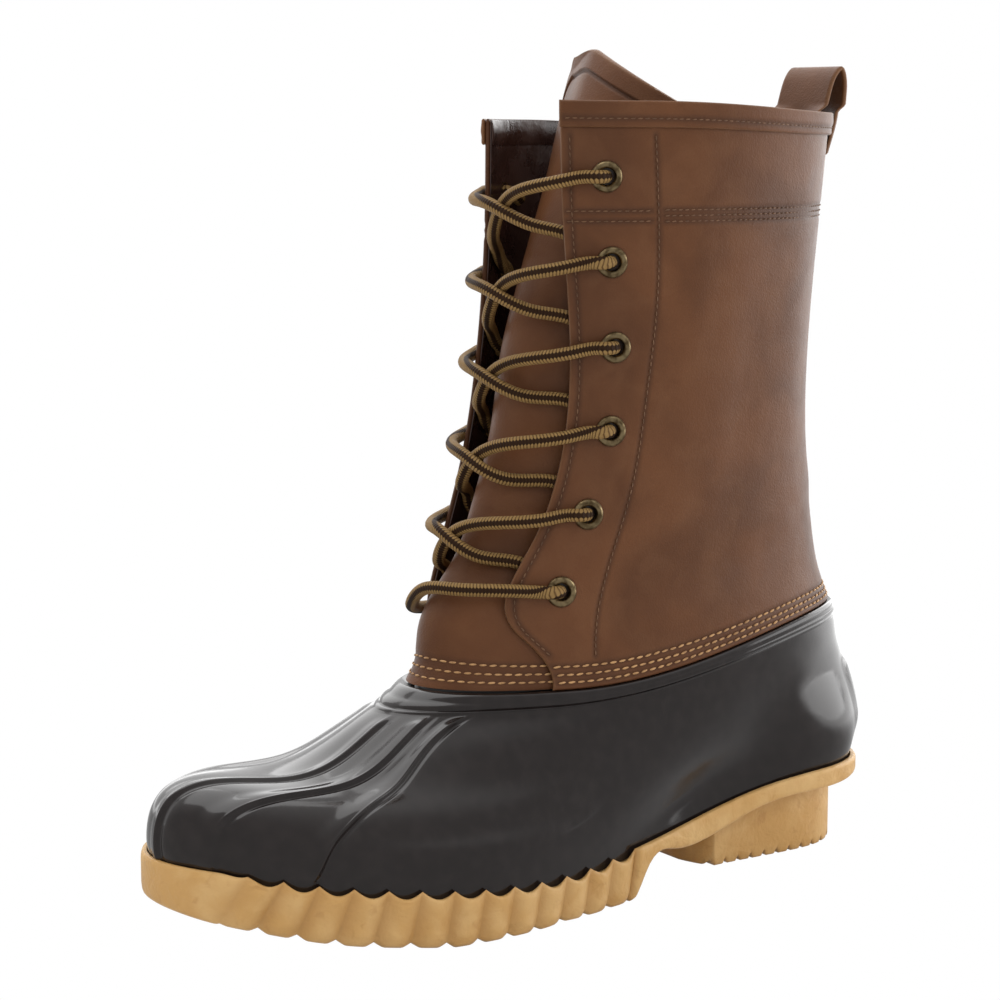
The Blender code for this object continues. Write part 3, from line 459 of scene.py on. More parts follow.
    def offset(self, phi: Array, v: Array, lift: Array | float) -> Array:
        """Points of the form moved out by lift."""
        phi, v, lift = np.broadcast_arrays(*(np.asarray(a, float) for a in (phi, v, lift)))
        return self.form(phi, v) + self.outward(phi, v) * lift[..., None]

    @cached_property
    def level_table(self) -> tuple[Array, Array]:
        """Heights in front and the places v that have them, from the shell's top to the collar."""
        v = np.linspace(self.shell_top_v, self.collar_v, self.level_samples)
        return self.ring_at(v).front_z, v

    def v_at_level(self, level: Array | float) -> Array:
        """Place v of the ring whose front is at this height."""
        return np.interp(level, *self.level_table)

    def phi_at_x(self, x: Array | float, level: Array | float) -> Array:
        """Angle near the toe line where the ring at this level is x from the centre plane."""
        ring = self.ring_at(self.v_at_level(level))
        return np.arcsin(np.clip(x / ring.half_width, -1, 1))

    def phi_at_y(self, y: Array, level: Array) -> Array:
        """Angle on the outer side where the ring at this level is at y."""
        ring = self.ring_at(self.v_at_level(level))
        return np.arccos(np.clip(1 - 2 * (y - ring.front_y) / (ring.back_y - ring.front_y), -1, 1))

    def edge_x(self, level: Array | float, side: Side) -> Array:
        """Signed x of the quarter's front edge at a level."""
        widths = [row.outer if side is Side.OUTER else row.inner for row in self.throat]
        return side.value * spline([row.level for row in self.throat], widths, level)[..., 0]

    def edge_phi(self, level: float, side: Side, behind: float = 0.0) -> float:
        """Angle of a quarter's front edge, or of a place behind it.

        Args:
            level: height of the ring in front.
            side: which quarter.
            behind: distance behind the edge, measured round the ring.

        Returns:
            The angle, below 0 on the inner side.
        """
        start = float(self.phi_at_x(self.edge_x(level, side), level))
        if behind == 0.0:
            return start
        angles = start + side.value * np.linspace(*self.edge_search)
        lengths = walked(self.form(angles, self.v_at_level(level)))
        lengths -= np.interp(0.0, (angles - start) * side.value, lengths)
        return float(np.interp(behind, lengths, angles))

    def throat_point(self, x: float, level: float, lift: float) -> Array:
        """A point of the throat, x from the centre plane, lifted off the form."""
        return self.offset(self.phi_at_x(x, level), self.v_at_level(level), lift)

    def eyelet_level(self, side: Side, row: int) -> float:
        """Level of an eyelet."""
        return self.eyelets[row].outer_level if side is Side.OUTER else self.eyelets[row].inner_level

    def near_eyelet(self, side: Side, row: int, short_by: float, lift: float) -> Array:
        """A point between the quarter's edge and an eyelet's centre, lifted off the leather."""
        level = self.eyelet_level(side, row)
        phi = self.edge_phi(level, side, self.eyelets[row].setback - short_by)
        return self.offset(phi, self.v_at_level(level), lift)

    def tongue_top_level(self, across: Array) -> Array:
        """Level of the tongue's top edge, which peaks on the inner side."""
        from_peak = across - self.tongue_peak
        from_peak = np.abs(from_peak) / (1 - np.sign(from_peak) * self.tongue_peak)
        return self.tongue_top - self.tongue_corner_drop * from_peak**self.tongue_peak_power

    def tongue_point(self, across: Array, level: Array, deeper: Array | float) -> Array:
        """Points of the vamp and tongue.

        Args:
            across: place between its inner (-1) and outer (1) edge.
            level: height of the ring it lies under.
            deeper: distance under its face.

        Returns:
            Points (x, y, z).
        """
        table = np.array(self.tongue)
        depth = spline(table[:, 0], table[:, 1:], level)
        ring = self.ring_at(self.v_at_level(np.minimum(level, self.collar_top)))
        phi = across * np.radians(depth[..., 2])
        length = (ring.back_y - ring.front_y) / 2
        x = (ring.half_width - depth[..., 1] - deeper) * np.sin(phi)
        y = ring.front_y + length - (length - depth[..., 0] - deeper) * np.cos(phi)
        z = self.ring_height(ring, self.share_along(phi)) - self.sag(phi, ring)
        return np.stack([x, y, z + np.maximum(level - self.collar_top, 0)], -1)


def math_method(operation: str, turned: bool = False) -> Callable[..., Wire]:
    """A method of Wire that adds a Math node.

    Args:
        operation: the node's operation.
        turned: whether the wire is its second value.

    Returns:
        The method.
    """

    def method(wire: Wire, other: Wire | float = 0.0) -> Wire:
        """Adds the node."""
        first, second = (other, wire) if turned else (wire, other)
        return wire.graph.add("ShaderNodeMath", {"operation": operation}, {0: first, 1: second})

    return method


class Wire:
    """An output socket that takes part in Python expressions by adding Math nodes."""

    def __init__(self, graph: Graph, socket: bpy.types.NodeSocket) -> None:
        """Keeps the socket and the graph that it belongs to."""
        self.graph = graph
        self.socket = socket

    __add__ = __radd__ = math_method("ADD")
    __sub__ = math_method("SUBTRACT")
    __rsub__ = math_method("SUBTRACT", turned=True)
    __mul__ = __rmul__ = math_method("MULTIPLY")
    __truediv__ = math_method("DIVIDE")
    __pow__ = math_method("POWER")
    size = math_method("ABSOLUTE")
    fraction = math_method("FRACT")

    def between(self, low: float, high: float) -> Wire:
        """Rises smoothly from 0 at low to 1 at high."""
        settings = {"interpolation_type": "SMOOTHSTEP"}
        return self.graph.add("ShaderNodeMapRange", settings, {0: self, 1: low, 2: high, 3: 0.0, 4: 1.0})


class Graph:
    """Builds a node tree, of a material or of Geometry Nodes."""

    def __init__(self, tree: bpy.types.NodeTree) -> None:
        """Keeps the tree."""
        self.tree = tree

    def add(
        self,
        kind: str,
        settings: dict[str, object] | None = None,
        sockets: dict[int | str, object] | None = None,
        output: int | str | None = 0,
    ) -> Wire | None:
        """Adds a node.

        Args:
            kind: the node's type.
            settings: its properties.
            sockets: values or wires for its inputs, by name or index.
            output: name or index of the output wanted, or None.

        Returns:
            That output.
        """
        node = self.tree.nodes.new(kind)
        for name, value in (settings or {}).items():
            setattr(node, name, value)
        for key, value in (sockets or {}).items():
            if isinstance(value, Wire):
                self.tree.links.new(value.socket, node.inputs[key])
            else:
                node.inputs[key].default_value = value
        return None if output is None else Wire(self, node.outputs[output])

    def mix(self, share: Wire | float, first: Wire | Colour, second: Wire | Colour) -> Wire:
        """Colour between two colours, the second where share is 1."""
        first, second = (c if isinstance(c, Wire) else (*c, 1.0) for c in (first, second))
        return self.add("ShaderNodeMix", {"data_type": "RGBA"}, {0: share, 6: first, 7: second}, output=2)

    def noise(self, at: Wire, scale: float, detail: float = 2.0, stretch: float = 0.0) -> Wire:
        """Noise about 0.5 at a scale per metre."""
        sockets = {"Vector": at, "Scale": scale, "Detail": detail, "Distortion": stretch}
        return self.add("ShaderNodeTexNoise", None, sockets)

    def cells(self, at: Wire, scale: float) -> Wire:
        """Distance to the nearest of scattered cell centres."""
        settings = {"feature": "SMOOTH_F1"}
        return self.add("ShaderNodeTexVoronoi", settings, {"Vector": at, "Scale": scale, "Smoothness": 0.4})

    def bump(self, height: Wire, distance: float, strength: float = 1.0) -> Wire:
        """Normal of a surface raised by height times a distance in metres."""
        sockets = {"Height": height, "Distance": distance, "Strength": strength}
        return self.add("ShaderNodeBump", None, sockets)

    def here(self) -> Wire:
        """Object coordinates, in metres."""
        return self.add("ShaderNodeTexCoord", None, None, "Object")

    def mark(self, name: str) -> Wire:
        """A float attribute of the mesh, 0 where the mesh has none."""
        return self.add("ShaderNodeAttribute", {"attribute_name": name}, None, "Fac")

    def surface(self, **sockets: object) -> None:
        """Ends a material in a Principled shader with these sockets, whose names have _ for a space."""
        named = {}
        for name, value in sockets.items():
            plain = isinstance(value, tuple) and len(value) == 3
            named[name.replace("_", " ")] = (*value, 1.0) if plain else value
        shader = self.add("ShaderNodeBsdfPrincipled", None, named)
        self.add("ShaderNodeOutputMaterial", None, {"Surface": shader}, None)


def new_material(name: str) -> tuple[Material, Graph]:
    """A material with an empty tree.

    Args:
        name: its name.

    Returns:
        The material and its graph.
    """
    material = bpy.data.materials.new(name)
    material.use_nodes = True
    material.node_tree.nodes.clear()
    return material, Graph(material.node_tree)


@dataclass(frozen=True)
class Finish:
    """A named material for a slot of the record, which each kind of finish paints in its own way."""

    name: str
    slot: Slot

    def paint(self, g: Graph) -> None:
        """Adds the finish's nodes to its graph."""
        raise NotImplementedError

    @cached_property
    def material(self) -> Material:
        """The material, made when it is first asked for."""
        material, g = new_material(self.name)
        self.paint(g)
        return material


@dataclass(frozen=True)
class LeatherFinish(Finish):
    """Smooth oiled leather: mottled, finely grained and paler at its cut edges, with painted shade in its
    seam and hem grooves and darker near the inner quarter's front edge.
    """

    name: str = "oiled_leather"
    slot: Slot = Slot.LEATHER
    deep: Colour = (0.092, 0.033, 0.011)
    warm: Colour = (0.130, 0.048, 0.0165)
    pale: Colour = (0.170, 0.075, 0.032)
    cut: Colour = (0.24, 0.125, 0.060)
    # seam: colour of the painted shade in the seam and hem grooves, also used near the inner quarter's
    # front edge
    seam: Colour = (0.055, 0.021, 0.009)

    def paint(self, g: Graph) -> None:
        """Adds the finish's nodes to its graph."""
        at = g.here()
        cloud = g.noise(at, 24.0, 3.0, 0.6).between(0.32, 0.68)
        blotch = g.noise(at, 85.0, 4.0, 0.4).between(0.42, 0.72)
        speck = g.noise(at, 900.0, 2.0)
        colour = g.mix(cloud, self.deep, self.warm)
        colour = g.mix(blotch * 0.22, colour, self.pale)
        colour = g.mix(speck.between(0.5, 0.75) * 0.15, colour, self.deep)
        # painted shade: the seam mark darkens the seam and hem grooves, and the inner quarter near its
        # front edge
        colour = g.mix(g.mark("seam") * 0.65, colour, self.seam)
        colour = g.mix(g.mark("rim") * 0.45, colour, self.cut)
        grain = g.cells(at, 1500.0) * 0.5 + g.noise(at, 700.0, 3.0) * 0.6 + g.noise(at, 160.0, 2.0) * 0.9
        rough = 0.42 + g.noise(at, 130.0, 3.0) * 0.14
        g.surface(
            Base_Color=colour, Roughness=rough, Normal=g.bump(grain, 0.00022, 0.5), Specular_IOR_Level=0.24
        )


@dataclass(frozen=True)
class ShellFinish(Finish):
    """Glossy moulded rubber, near black with a brown cast, with the faint waves of the mould."""

    name: str = "gloss_shell_rubber"
    slot: Slot = Slot.SHELL
    body: Colour = (0.010, 0.0068, 0.0062)
    bloom: Colour = (0.020, 0.0145, 0.0135)

    def paint(self, g: Graph) -> None:
        """Adds the finish's nodes to its graph."""
        at = g.here()
        waves = g.noise(at, 38.0, 1.5)
        film = g.noise(at, 210.0, 4.0).between(0.35, 0.75)
        colour = g.mix(film * 0.5, self.body, self.bloom)
        rough = 0.11 + film * 0.06
        height = waves * 1.0 + g.noise(at, 420.0, 2.0) * 0.03
        g.surface(
            Base_Color=colour, Roughness=rough, Normal=g.bump(height, 0.0006, 0.5), Specular_IOR_Level=0.5
        )


@dataclass(frozen=True)
class GumFinish(Finish):
    """Satin gum rubber, with pale clouds and random stains, and painted shade and dirt darkening its
    grooves.
    """

    name: str = "gum_sole_rubber"
    slot: Slot = Slot.SOLE
    body: Colour = (0.52, 0.295, 0.095)
    pale: Colour = (0.60, 0.375, 0.15)
    # deep: colour of the random stains, and of the painted shade and dirt in the grooves
    deep: Colour = (0.36, 0.175, 0.045)

    def paint(self, g: Graph) -> None:
        """Adds the finish's nodes to its graph."""
        at = g.here()
        cloud = g.noise(at, 60.0, 4.0, 0.5).between(0.35, 0.7)
        colour = g.mix(cloud, self.body, self.pale)
        stain = g.noise(at, 190.0, 4.0, 0.8).between(0.56, 0.78)
        colour = g.mix(stain * 0.4, colour, self.deep)
        # painted shade and dirt: the groove share darkens the grooves
        colour = g.mix(g.mark("recess") * 0.6, colour, self.deep)
        height = g.noise(at, 130.0, 3.0, 0.8) * 1.0 + g.noise(at, 900.0, 2.0) * 0.15
        rough = 0.42 + cloud * 0.12
        g.surface(
            Base_Color=colour, Roughness=rough, Normal=g.bump(height, 0.0017, 0.5), Specular_IOR_Level=0.4
        )


@dataclass(frozen=True)
class LiningFinish(Finish):
    """Dark slick lining of the shaft."""

    name: str = "shaft_lining"
    slot: Slot = Slot.LEATHER
    body: Colour = (0.030, 0.013, 0.010)
    worn: Colour = (0.058, 0.028, 0.021)

    def paint(self, g: Graph) -> None:
        """Adds the finish's nodes to its graph."""
        at = g.here()
        cloud = g.noise(at, 70.0, 3.0).between(0.35, 0.7)
        height = g.noise(at, 130.0, 3.0, 0.5) + g.noise(at, 1300.0, 2.0) * 0.2
        g.surface(
            Base_Color=g.mix(cloud, self.body, self.worn),
            Roughness=0.22 + cloud * 0.12,
            Normal=g.bump(height, 0.0007, 0.5),
        )


@dataclass(frozen=True)
class CordFinish(Finish):
    """Round braid: tan and dark brown bands along the cord, slanted yarns across them, painted shade
    between the yarns.
    """

    name: str = "braided_lace"
    slot: Slot = Slot.LACE
    tan: Colour = (0.25, 0.153, 0.056)
    dark: Colour = (0.026, 0.011, 0.004)
    # groove: colour of the painted shade between the yarns
    groove: Colour = (0.10, 0.05, 0.018)
    bands: int = 2
    yarn_pitch: float = 1.1

    def paint(self, g: Graph) -> None:
        """Adds the finish's nodes; the UV map holds the length in millimetres and the turn round it."""
        place = g.add("ShaderNodeUVMap", {"uv_map": "cord"})
        along = g.add("ShaderNodeSeparateXYZ", None, {0: place}, "X")
        turn = g.add("ShaderNodeSeparateXYZ", None, {0: place}, "Y")
        band = ((turn * float(self.bands)).fraction() - 0.5).size()
        yarn = ((along / self.yarn_pitch + band * 1.4).fraction() - 0.5).size() * 2.0
        in_dark = (band + yarn * 0.08).between(0.375, 0.43)
        # painted shade: darker towards the grooves between the yarns
        colour = g.mix(yarn.between(0.50, 0.92) * 0.9, self.tan, self.groove)
        colour = g.mix(in_dark, colour, self.dark)
        height = 1.0 - yarn**3.0
        normal = g.bump(height, 0.00035, 0.8)
        g.surface(Base_Color=colour, Roughness=0.62, Normal=normal, Specular_IOR_Level=0.12)


@dataclass(frozen=True)
class BrassFinish(Finish):
    """Antiqued brass, browned in patches."""

    name: str = "antique_brass_metal"
    slot: Slot = Slot.EYELETS
    bright: Colour = (0.30, 0.225, 0.12)
    brown: Colour = (0.115, 0.078, 0.038)

    def paint(self, g: Graph) -> None:
        """Adds the finish's nodes to its graph."""
        at = g.here()
        age = g.noise(at, 420.0, 4.0, 0.4).between(0.35, 0.68)
        height = g.noise(at, 1500.0, 3.0)
        g.surface(
            Base_Color=g.mix(age, self.bright, self.brown),
            Roughness=0.30 + age * 0.22,
            Metallic=1.0,
            Normal=g.bump(height, 0.00012, 0.4),
        )


@dataclass(frozen=True)
class ThreadFinish(Finish):
    """Waxed sewing thread."""

    body: Colour
    shade: Colour

    def paint(self, g: Graph) -> None:
        """Adds the finish's nodes to its graph."""
        at = g.here()
        tone = g.noise(at, 320.0, 3.0).between(0.35, 0.7)
        height = g.noise(at, 2400.0, 1.0)
        g.surface(
            Base_Color=g.mix(tone, self.body, self.shade), Roughness=0.6, Normal=g.bump(height, 0.0002, 0.5)
        )


@dataclass(frozen=True)
class FootbedFinish(Finish):
    """Woven footbed cover, dusted lighter in random patches."""

    name: str = "footbed_cloth"
    slot: Slot = Slot.FOOTBED
    body: Colour = (0.115, 0.085, 0.06)
    dust: Colour = (0.20, 0.16, 0.115)

    def paint(self, g: Graph) -> None:
        """Adds the finish's nodes to its graph."""
        at = g.here()
        weave = g.cells(at, 900.0)
        cloud = g.noise(at, 45.0, 3.0).between(0.35, 0.7)
        colour = g.mix(cloud, self.body, self.dust)
        g.surface(Base_Color=colour, Roughness=0.85, Normal=g.bump(weave, 0.0005, 0.6))


def grid_faces(index: Array) -> Array:
    """Quads between the rows and columns of a grid of vertex numbers."""
    return np.stack([index[:-1, :-1], index[:-1, 1:], index[1:, 1:], index[1:, :-1]], -1).reshape(-1, 4)


def numbered(points: Array) -> Array:
    """Vertex numbers of a grid of points, with the first column again after the last."""
    index = np.arange(points.shape[0] * points.shape[1]).reshape(points.shape[:2])
    return np.concatenate([index, index[:, :1]], 1)


def new_mesh(name: str, points: Array, faces: Sequence, marks: Marks | None = None) -> Mesh:
    """A mesh in metres with its normals turned out.

    Args:
        name: its name.
        points: vertices in the form's millimetres, in a list or a grid.
        faces: lists of vertex numbers.
        marks: float attributes, a value for each vertex.

    Returns:
        The mesh, moved with the boot to its frame.
    """
    mesh = bpy.data.meshes.new(name)
    mesh.from_pydata(((points.reshape(-1, 3) + CENTRING) * MM).tolist(), [], faces)
    for mark, values in (marks or {}).items():
        attribute = mesh.attributes.new(mark, "FLOAT", "POINT")
        attribute.data.foreach_set("value", np.asarray(values, float).ravel())
    shape = bmesh.new()
    shape.from_mesh(mesh)
    bmesh.ops.recalc_face_normals(shape, faces=shape.faces)
    shape.to_mesh(mesh)
    shape.free()
    return mesh


def soften(outside: Array, inside: Array, share: float = 0.34) -> tuple[Array, Array]:
    """Rounds a sheet's rim by drawing the edge rows and columns of its faces towards each other.

    Args:
        outside: grid of points of one face.
        inside: grid of points of the other.
        share: how far the faces are drawn together.

    Returns:
        Both grids.
    """
    outside, inside = outside.copy(), inside.copy()
    for edge in (np.s_[0], np.s_[-1], np.s_[:, 0], np.s_[:, -1]):
        apart = (outside[edge] - inside[edge]) * share
        outside[edge] -= apart
        inside[edge] += apart
    return outside, inside


def wall(name: str, outside: Array, inside: Array, closed: bool, marks: Marks | None = None) -> Mesh:
    """A closed wall between two grids of points.

    Args:
        name: name of the mesh.
        outside: grid of points of one face.
        inside: grid of points of the other, of the same size.
        closed: whether the columns close on themselves.
        marks: float attributes on the outside's grid; the inside gets the same.

    Returns:
        The mesh.
    """
    outer = numbered(outside)
    if not closed:
        outer = outer[:, :-1]
    inner = outer + outer.max() + 1
    faces = [grid_faces(outer), grid_faces(inner)]
    faces += [grid_faces(np.stack([outer[row], inner[row]])) for row in (0, -1)]
    if not closed:
        faces += [grid_faces(np.stack([outer[:, column], inner[:, column]])) for column in (0, -1)]
    points = np.concatenate([outside.reshape(-1, 3), inside.reshape(-1, 3)])
    doubled = {mark: np.concatenate([np.ravel(values)] * 2) for mark, values in (marks or {}).items()}
    return new_mesh(name, points, np.concatenate(faces).tolist(), doubled)


def stack(name: str, loops: Array, marks: Marks | None = None) -> Mesh:
    """A closed body from loops that run from the toe round the heel, with rungs across its end loops.

    Args:
        name: name of the mesh.
        loops: points, a row for each loop, from the lowest.
        marks: float attributes on the loops' points.

    Returns:
        The mesh.
    """
    index = numbered(loops)
    faces = grid_faces(index).tolist()
    for ring in (index[0, :-1], index[-1, :-1]):
        half = len(ring) // 2
        other = np.concatenate([ring[:1], ring[: half - 1 : -1]])
        for k in range(half):
            corners = [ring[k], ring[k + 1], other[k + 1], other[k]]
            faces.append(list(dict.fromkeys(int(corner) for corner in corners)))
    return new_mesh(name, loops, faces, marks)


def placed(name: str, data: bpy.types.ID) -> Object:
    """A new object with this data, in the scene."""
    obj = bpy.data.objects.new(name, data)
    bpy.context.scene.collection.objects.link(obj)
    return obj


def combine(mesh: Mesh, other: Mesh, operation: str) -> Mesh:
    """Joins or cuts two closed meshes.

    Args:
        mesh: the mesh to change.
        other: the mesh to join on or cut away.
        operation: "UNION" or "DIFFERENCE".

    Returns:
        A new mesh.
    """
    body, tool = placed("body", mesh), placed("tool", other)
    modifier = body.modifiers.new("combine", "BOOLEAN")
    modifier.operation = operation
    modifier.solver = "MANIFOLD"
    modifier.object = tool
    result = evaluated(body, mesh.name + "_whole")
    for obj in (body, tool):
        bpy.data.objects.remove(obj)
    return result


def evaluated(obj: Object, name: str) -> Mesh:
    """The mesh that an object's modifiers make, under a new name."""
    bpy.context.view_layer.update()
    result = bpy.data.meshes.new_from_object(obj.evaluated_get(bpy.context.evaluated_depsgraph_get()))
    result.name = name
    return result


def set_out(name: str, mesh: Mesh, finish: Finish, replaces: Sequence[str] = ()) -> None:
    """Puts a finished mesh into the scene as a piece of the boot.

    Args:
        name: name of the piece.
        mesh: its mesh.
        finish: its finish.
        replaces: the nodes that the piece stands for.
    """
    piece = placed(name, mesh)
    mesh.materials.clear()
    mesh.materials.append(finish.material)
    mesh.shade_smooth()
    mesh.set_sharp_from_angle(angle=SHARP_ANGLE)
    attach(piece, "root")
    if replaces:
        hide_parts(*replaces)
    LOG.info("%s: %d faces", name, len(mesh.polygons))


def set_out_sheet(
    name: str,
    outside: Array,
    inside: Array,
    finish: Finish,
    replaces: Sequence[str] = (),
    marks: Marks | None = None,
) -> None:
    """Sets out a sheet with round rims between two grids of points."""
    mesh = wall(name, *soften(outside, inside), closed=False, marks=marks)
    set_out(name, mesh, finish, replaces)


LAST = Last()
OILED = LeatherFinish()
PALE_THREAD = ThreadFinish("pale_thread", Slot.LEATHER, (0.50, 0.28, 0.115), (0.30, 0.155, 0.06))
BROWN_THREAD = ThreadFinish("brown_thread", Slot.LEATHER, (0.165, 0.078, 0.034), (0.09, 0.04, 0.016))


class ThreadSize(NamedTuple):
    """Length of a stitch, pitch of its row, width, height above the leather, and finish."""

    stitch: float
    pitch: float
    width: float
    height: float
    finish: Finish


class Thread(Enum):
    """The two threads: a bold pale one beside the shell and a fine brown one elsewhere."""

    BOLD = ThreadSize(2.6, 3.4, 0.80, 0.34, PALE_THREAD)
    FINE = ThreadSize(1.7, 2.4, 0.50, 0.22, BROWN_THREAD)


@dataclass
class Seam:
    """A row of stitches: where it runs on the form and the thread that it is sewn with."""

    path: Array
    normals: Array
    thread: Thread

    def points(self) -> tuple[Array, Array, Array]:
        """Stitch centres, their directions and the leather's normals."""
        lengths = walked(self.path)
        pitch = self.thread.value.pitch
        at = np.arange(pitch / 2, lengths[-1], pitch)
        centres = spline(lengths, self.path, at)
        along = heading(lengths, self.path, at)
        out = np.stack([np.interp(at, lengths, self.normals[:, k]) for k in range(3)], -1)
        return centres, along, out


@dataclass
class SeamPlan:
    """Every row of stitches on the leather, so that the pieces can sink under them."""

    shell_rows: tuple[float, ...] = (3.3, 6.0, 8.7)
    ankle_level: float = 231.0
    rear_rows: tuple[float, ...] = (-1.9, 0.0, 1.9)
    front_rows: tuple[float, ...] = (-1.7, 1.7)
    edge_setback: float = 3.2
    collar_row: float = 2.9
    band_height: float = 8.8
    band_lift: float = 1.3
    end_setbacks: tuple[float, float, float] = (1.2, 1.0, 1.5)
    edge_levels: Span = (89.0, 258.0, 120)
    eyestay_levels: Span = (88.0, 258.0, 120)
    eyestay_clear: float = 0.03
    vamp_reach: Span = (-0.8, 0.8, 60)
    points_round: int = 260
    points_behind: int = 200
    points_in_front: int = 40
    knot_pitch: float = 0.5
    eyestay: Pairs = (
        (74.0, 8.6), (88.0, 8.5), (108.0, 11.0), (137.6, 21.7), (170.6, 27.6), (203.5, 30.6),
        (231.0, 30.4), (260.5, 28.7),
    )

    def eyestay_phi(self, level: Array | float, side: Side) -> Array:
        """Angle of the eyestay's seam at a level, below 0 on the inner side."""
        table = np.array(self.eyestay)
        y = spline(table[:, 0], table[:, 1], level)[..., 0]
        return side.value * LAST.phi_at_y(y, level)

    @staticmethod
    def on_form(phi: Array, v: Array | float, thread: Thread = Thread.FINE, lift: float = 0.0) -> Seam:
        """A seam through the form's points at these angles and places."""
        v = np.broadcast_to(np.asarray(v, float), np.shape(phi))
        return Seam(LAST.offset(phi, v, lift), LAST.outward(phi, v), thread)

    def round_the_heel(self, level: float, setback: float) -> Array:
        """Angles from the outer quarter's front edge round the heel to the inner one's, short of both."""
        start = LAST.edge_phi(level, Side.OUTER, setback)
        end = FULL_TURN + LAST.edge_phi(level, Side.INNER, setback)
        return np.linspace(start, end, self.points_round)

    @cached_property
    def quarter_seams(self) -> list[Seam]:
        """Seams of the quarters."""
        seams = []
        shell_end, ankle_end, _ = self.end_setbacks
        for rise in self.shell_rows:
            v = LAST.shell_top_v + rise
            phi = self.round_the_heel(float(LAST.ring_at(v).front_z), shell_end)
            seams.append(self.on_form(phi, v, Thread.BOLD))
        for side in Side:
            levels = np.linspace(*self.edge_levels)
            edge = np.array([LAST.edge_phi(level, side, self.edge_setback) for level in levels])
            seams.append(self.on_form(edge, LAST.v_at_level(levels)))
            levels = np.linspace(*self.eyestay_levels)
            seams.append(self.on_form(self.eyestay_phi(levels, side), LAST.v_at_level(levels)))
            for rise in self.front_rows:
                level = self.ankle_level + rise
                start = LAST.edge_phi(level, side, ankle_end)
                end = float(self.eyestay_phi(level, side)) - side.value * self.eyestay_clear
                phi = np.linspace(start, end, self.points_in_front)
                seams.append(self.on_form(phi, LAST.v_at_level(level)))
        for rise in self.rear_rows:
            level = self.ankle_level + rise
            start = float(self.eyestay_phi(level, Side.OUTER)) + self.eyestay_clear
            end = FULL_TURN + float(self.eyestay_phi(level, Side.INNER)) - self.eyestay_clear
            phi = np.linspace(start, end, self.points_behind)
            seams.append(self.on_form(phi, LAST.v_at_level(level)))
        return seams

    @cached_property
    def vamp_seams(self) -> list[Seam]:
        """Seams of the vamp, in front between the quarters."""
        seams = []
        for rise in self.shell_rows:
            level = float(LAST.ring_at(LAST.shell_top_v + rise).front_z)
            across = np.linspace(*self.vamp_reach)
            levels = np.full_like(across, level)
            path = LAST.tongue_point(across, levels, 0.0)
            normals = path - LAST.tongue_point(across, levels, 1.0)
            seams.append(Seam(path, normals, Thread.BOLD))
        return seams

    @cached_property
    def band_seams(self) -> list[Seam]:
        """Seam of the collar band."""
        level = LAST.collar_top - self.band_height + self.collar_row
        phi = self.round_the_heel(level, self.end_setbacks[-1])
        return [self.on_form(phi, LAST.v_at_level(level), lift=self.band_lift)]

    def sunk(self, points: Array, seams: Sequence[Seam], reach: float = 1.0) -> Array:
        """How far each point sinks under the seams: 1 on a seam, 0 beyond its reach.

        Args:
            points: grid of points.
            seams: the seams.
            reach: half width of the groove.

        Returns:
            A grid of shares.
        """
        knots = []
        for seam in seams:
            lengths = walked(seam.path)
            knots.append(spline(lengths, seam.path, np.arange(0, lengths[-1], self.knot_pitch)))
        knots = np.concatenate(knots)
        tree = KDTree(len(knots))
        for k, knot in enumerate(knots.tolist()):
            tree.insert(knot, k)
        tree.balance()
        flat = points.reshape(-1, 3)
        apart = np.array([tree.find(point)[2] for point in flat.tolist()])
        return hump(apart / (2 * reach)).reshape(points.shape[:2])


SEAMS = SeamPlan()


class RandRow(NamedTuple):
    """A loop of the rand: share of its height, distance inwards and share of the grooves' depth."""

    up: float
    inset: float
    depth: float


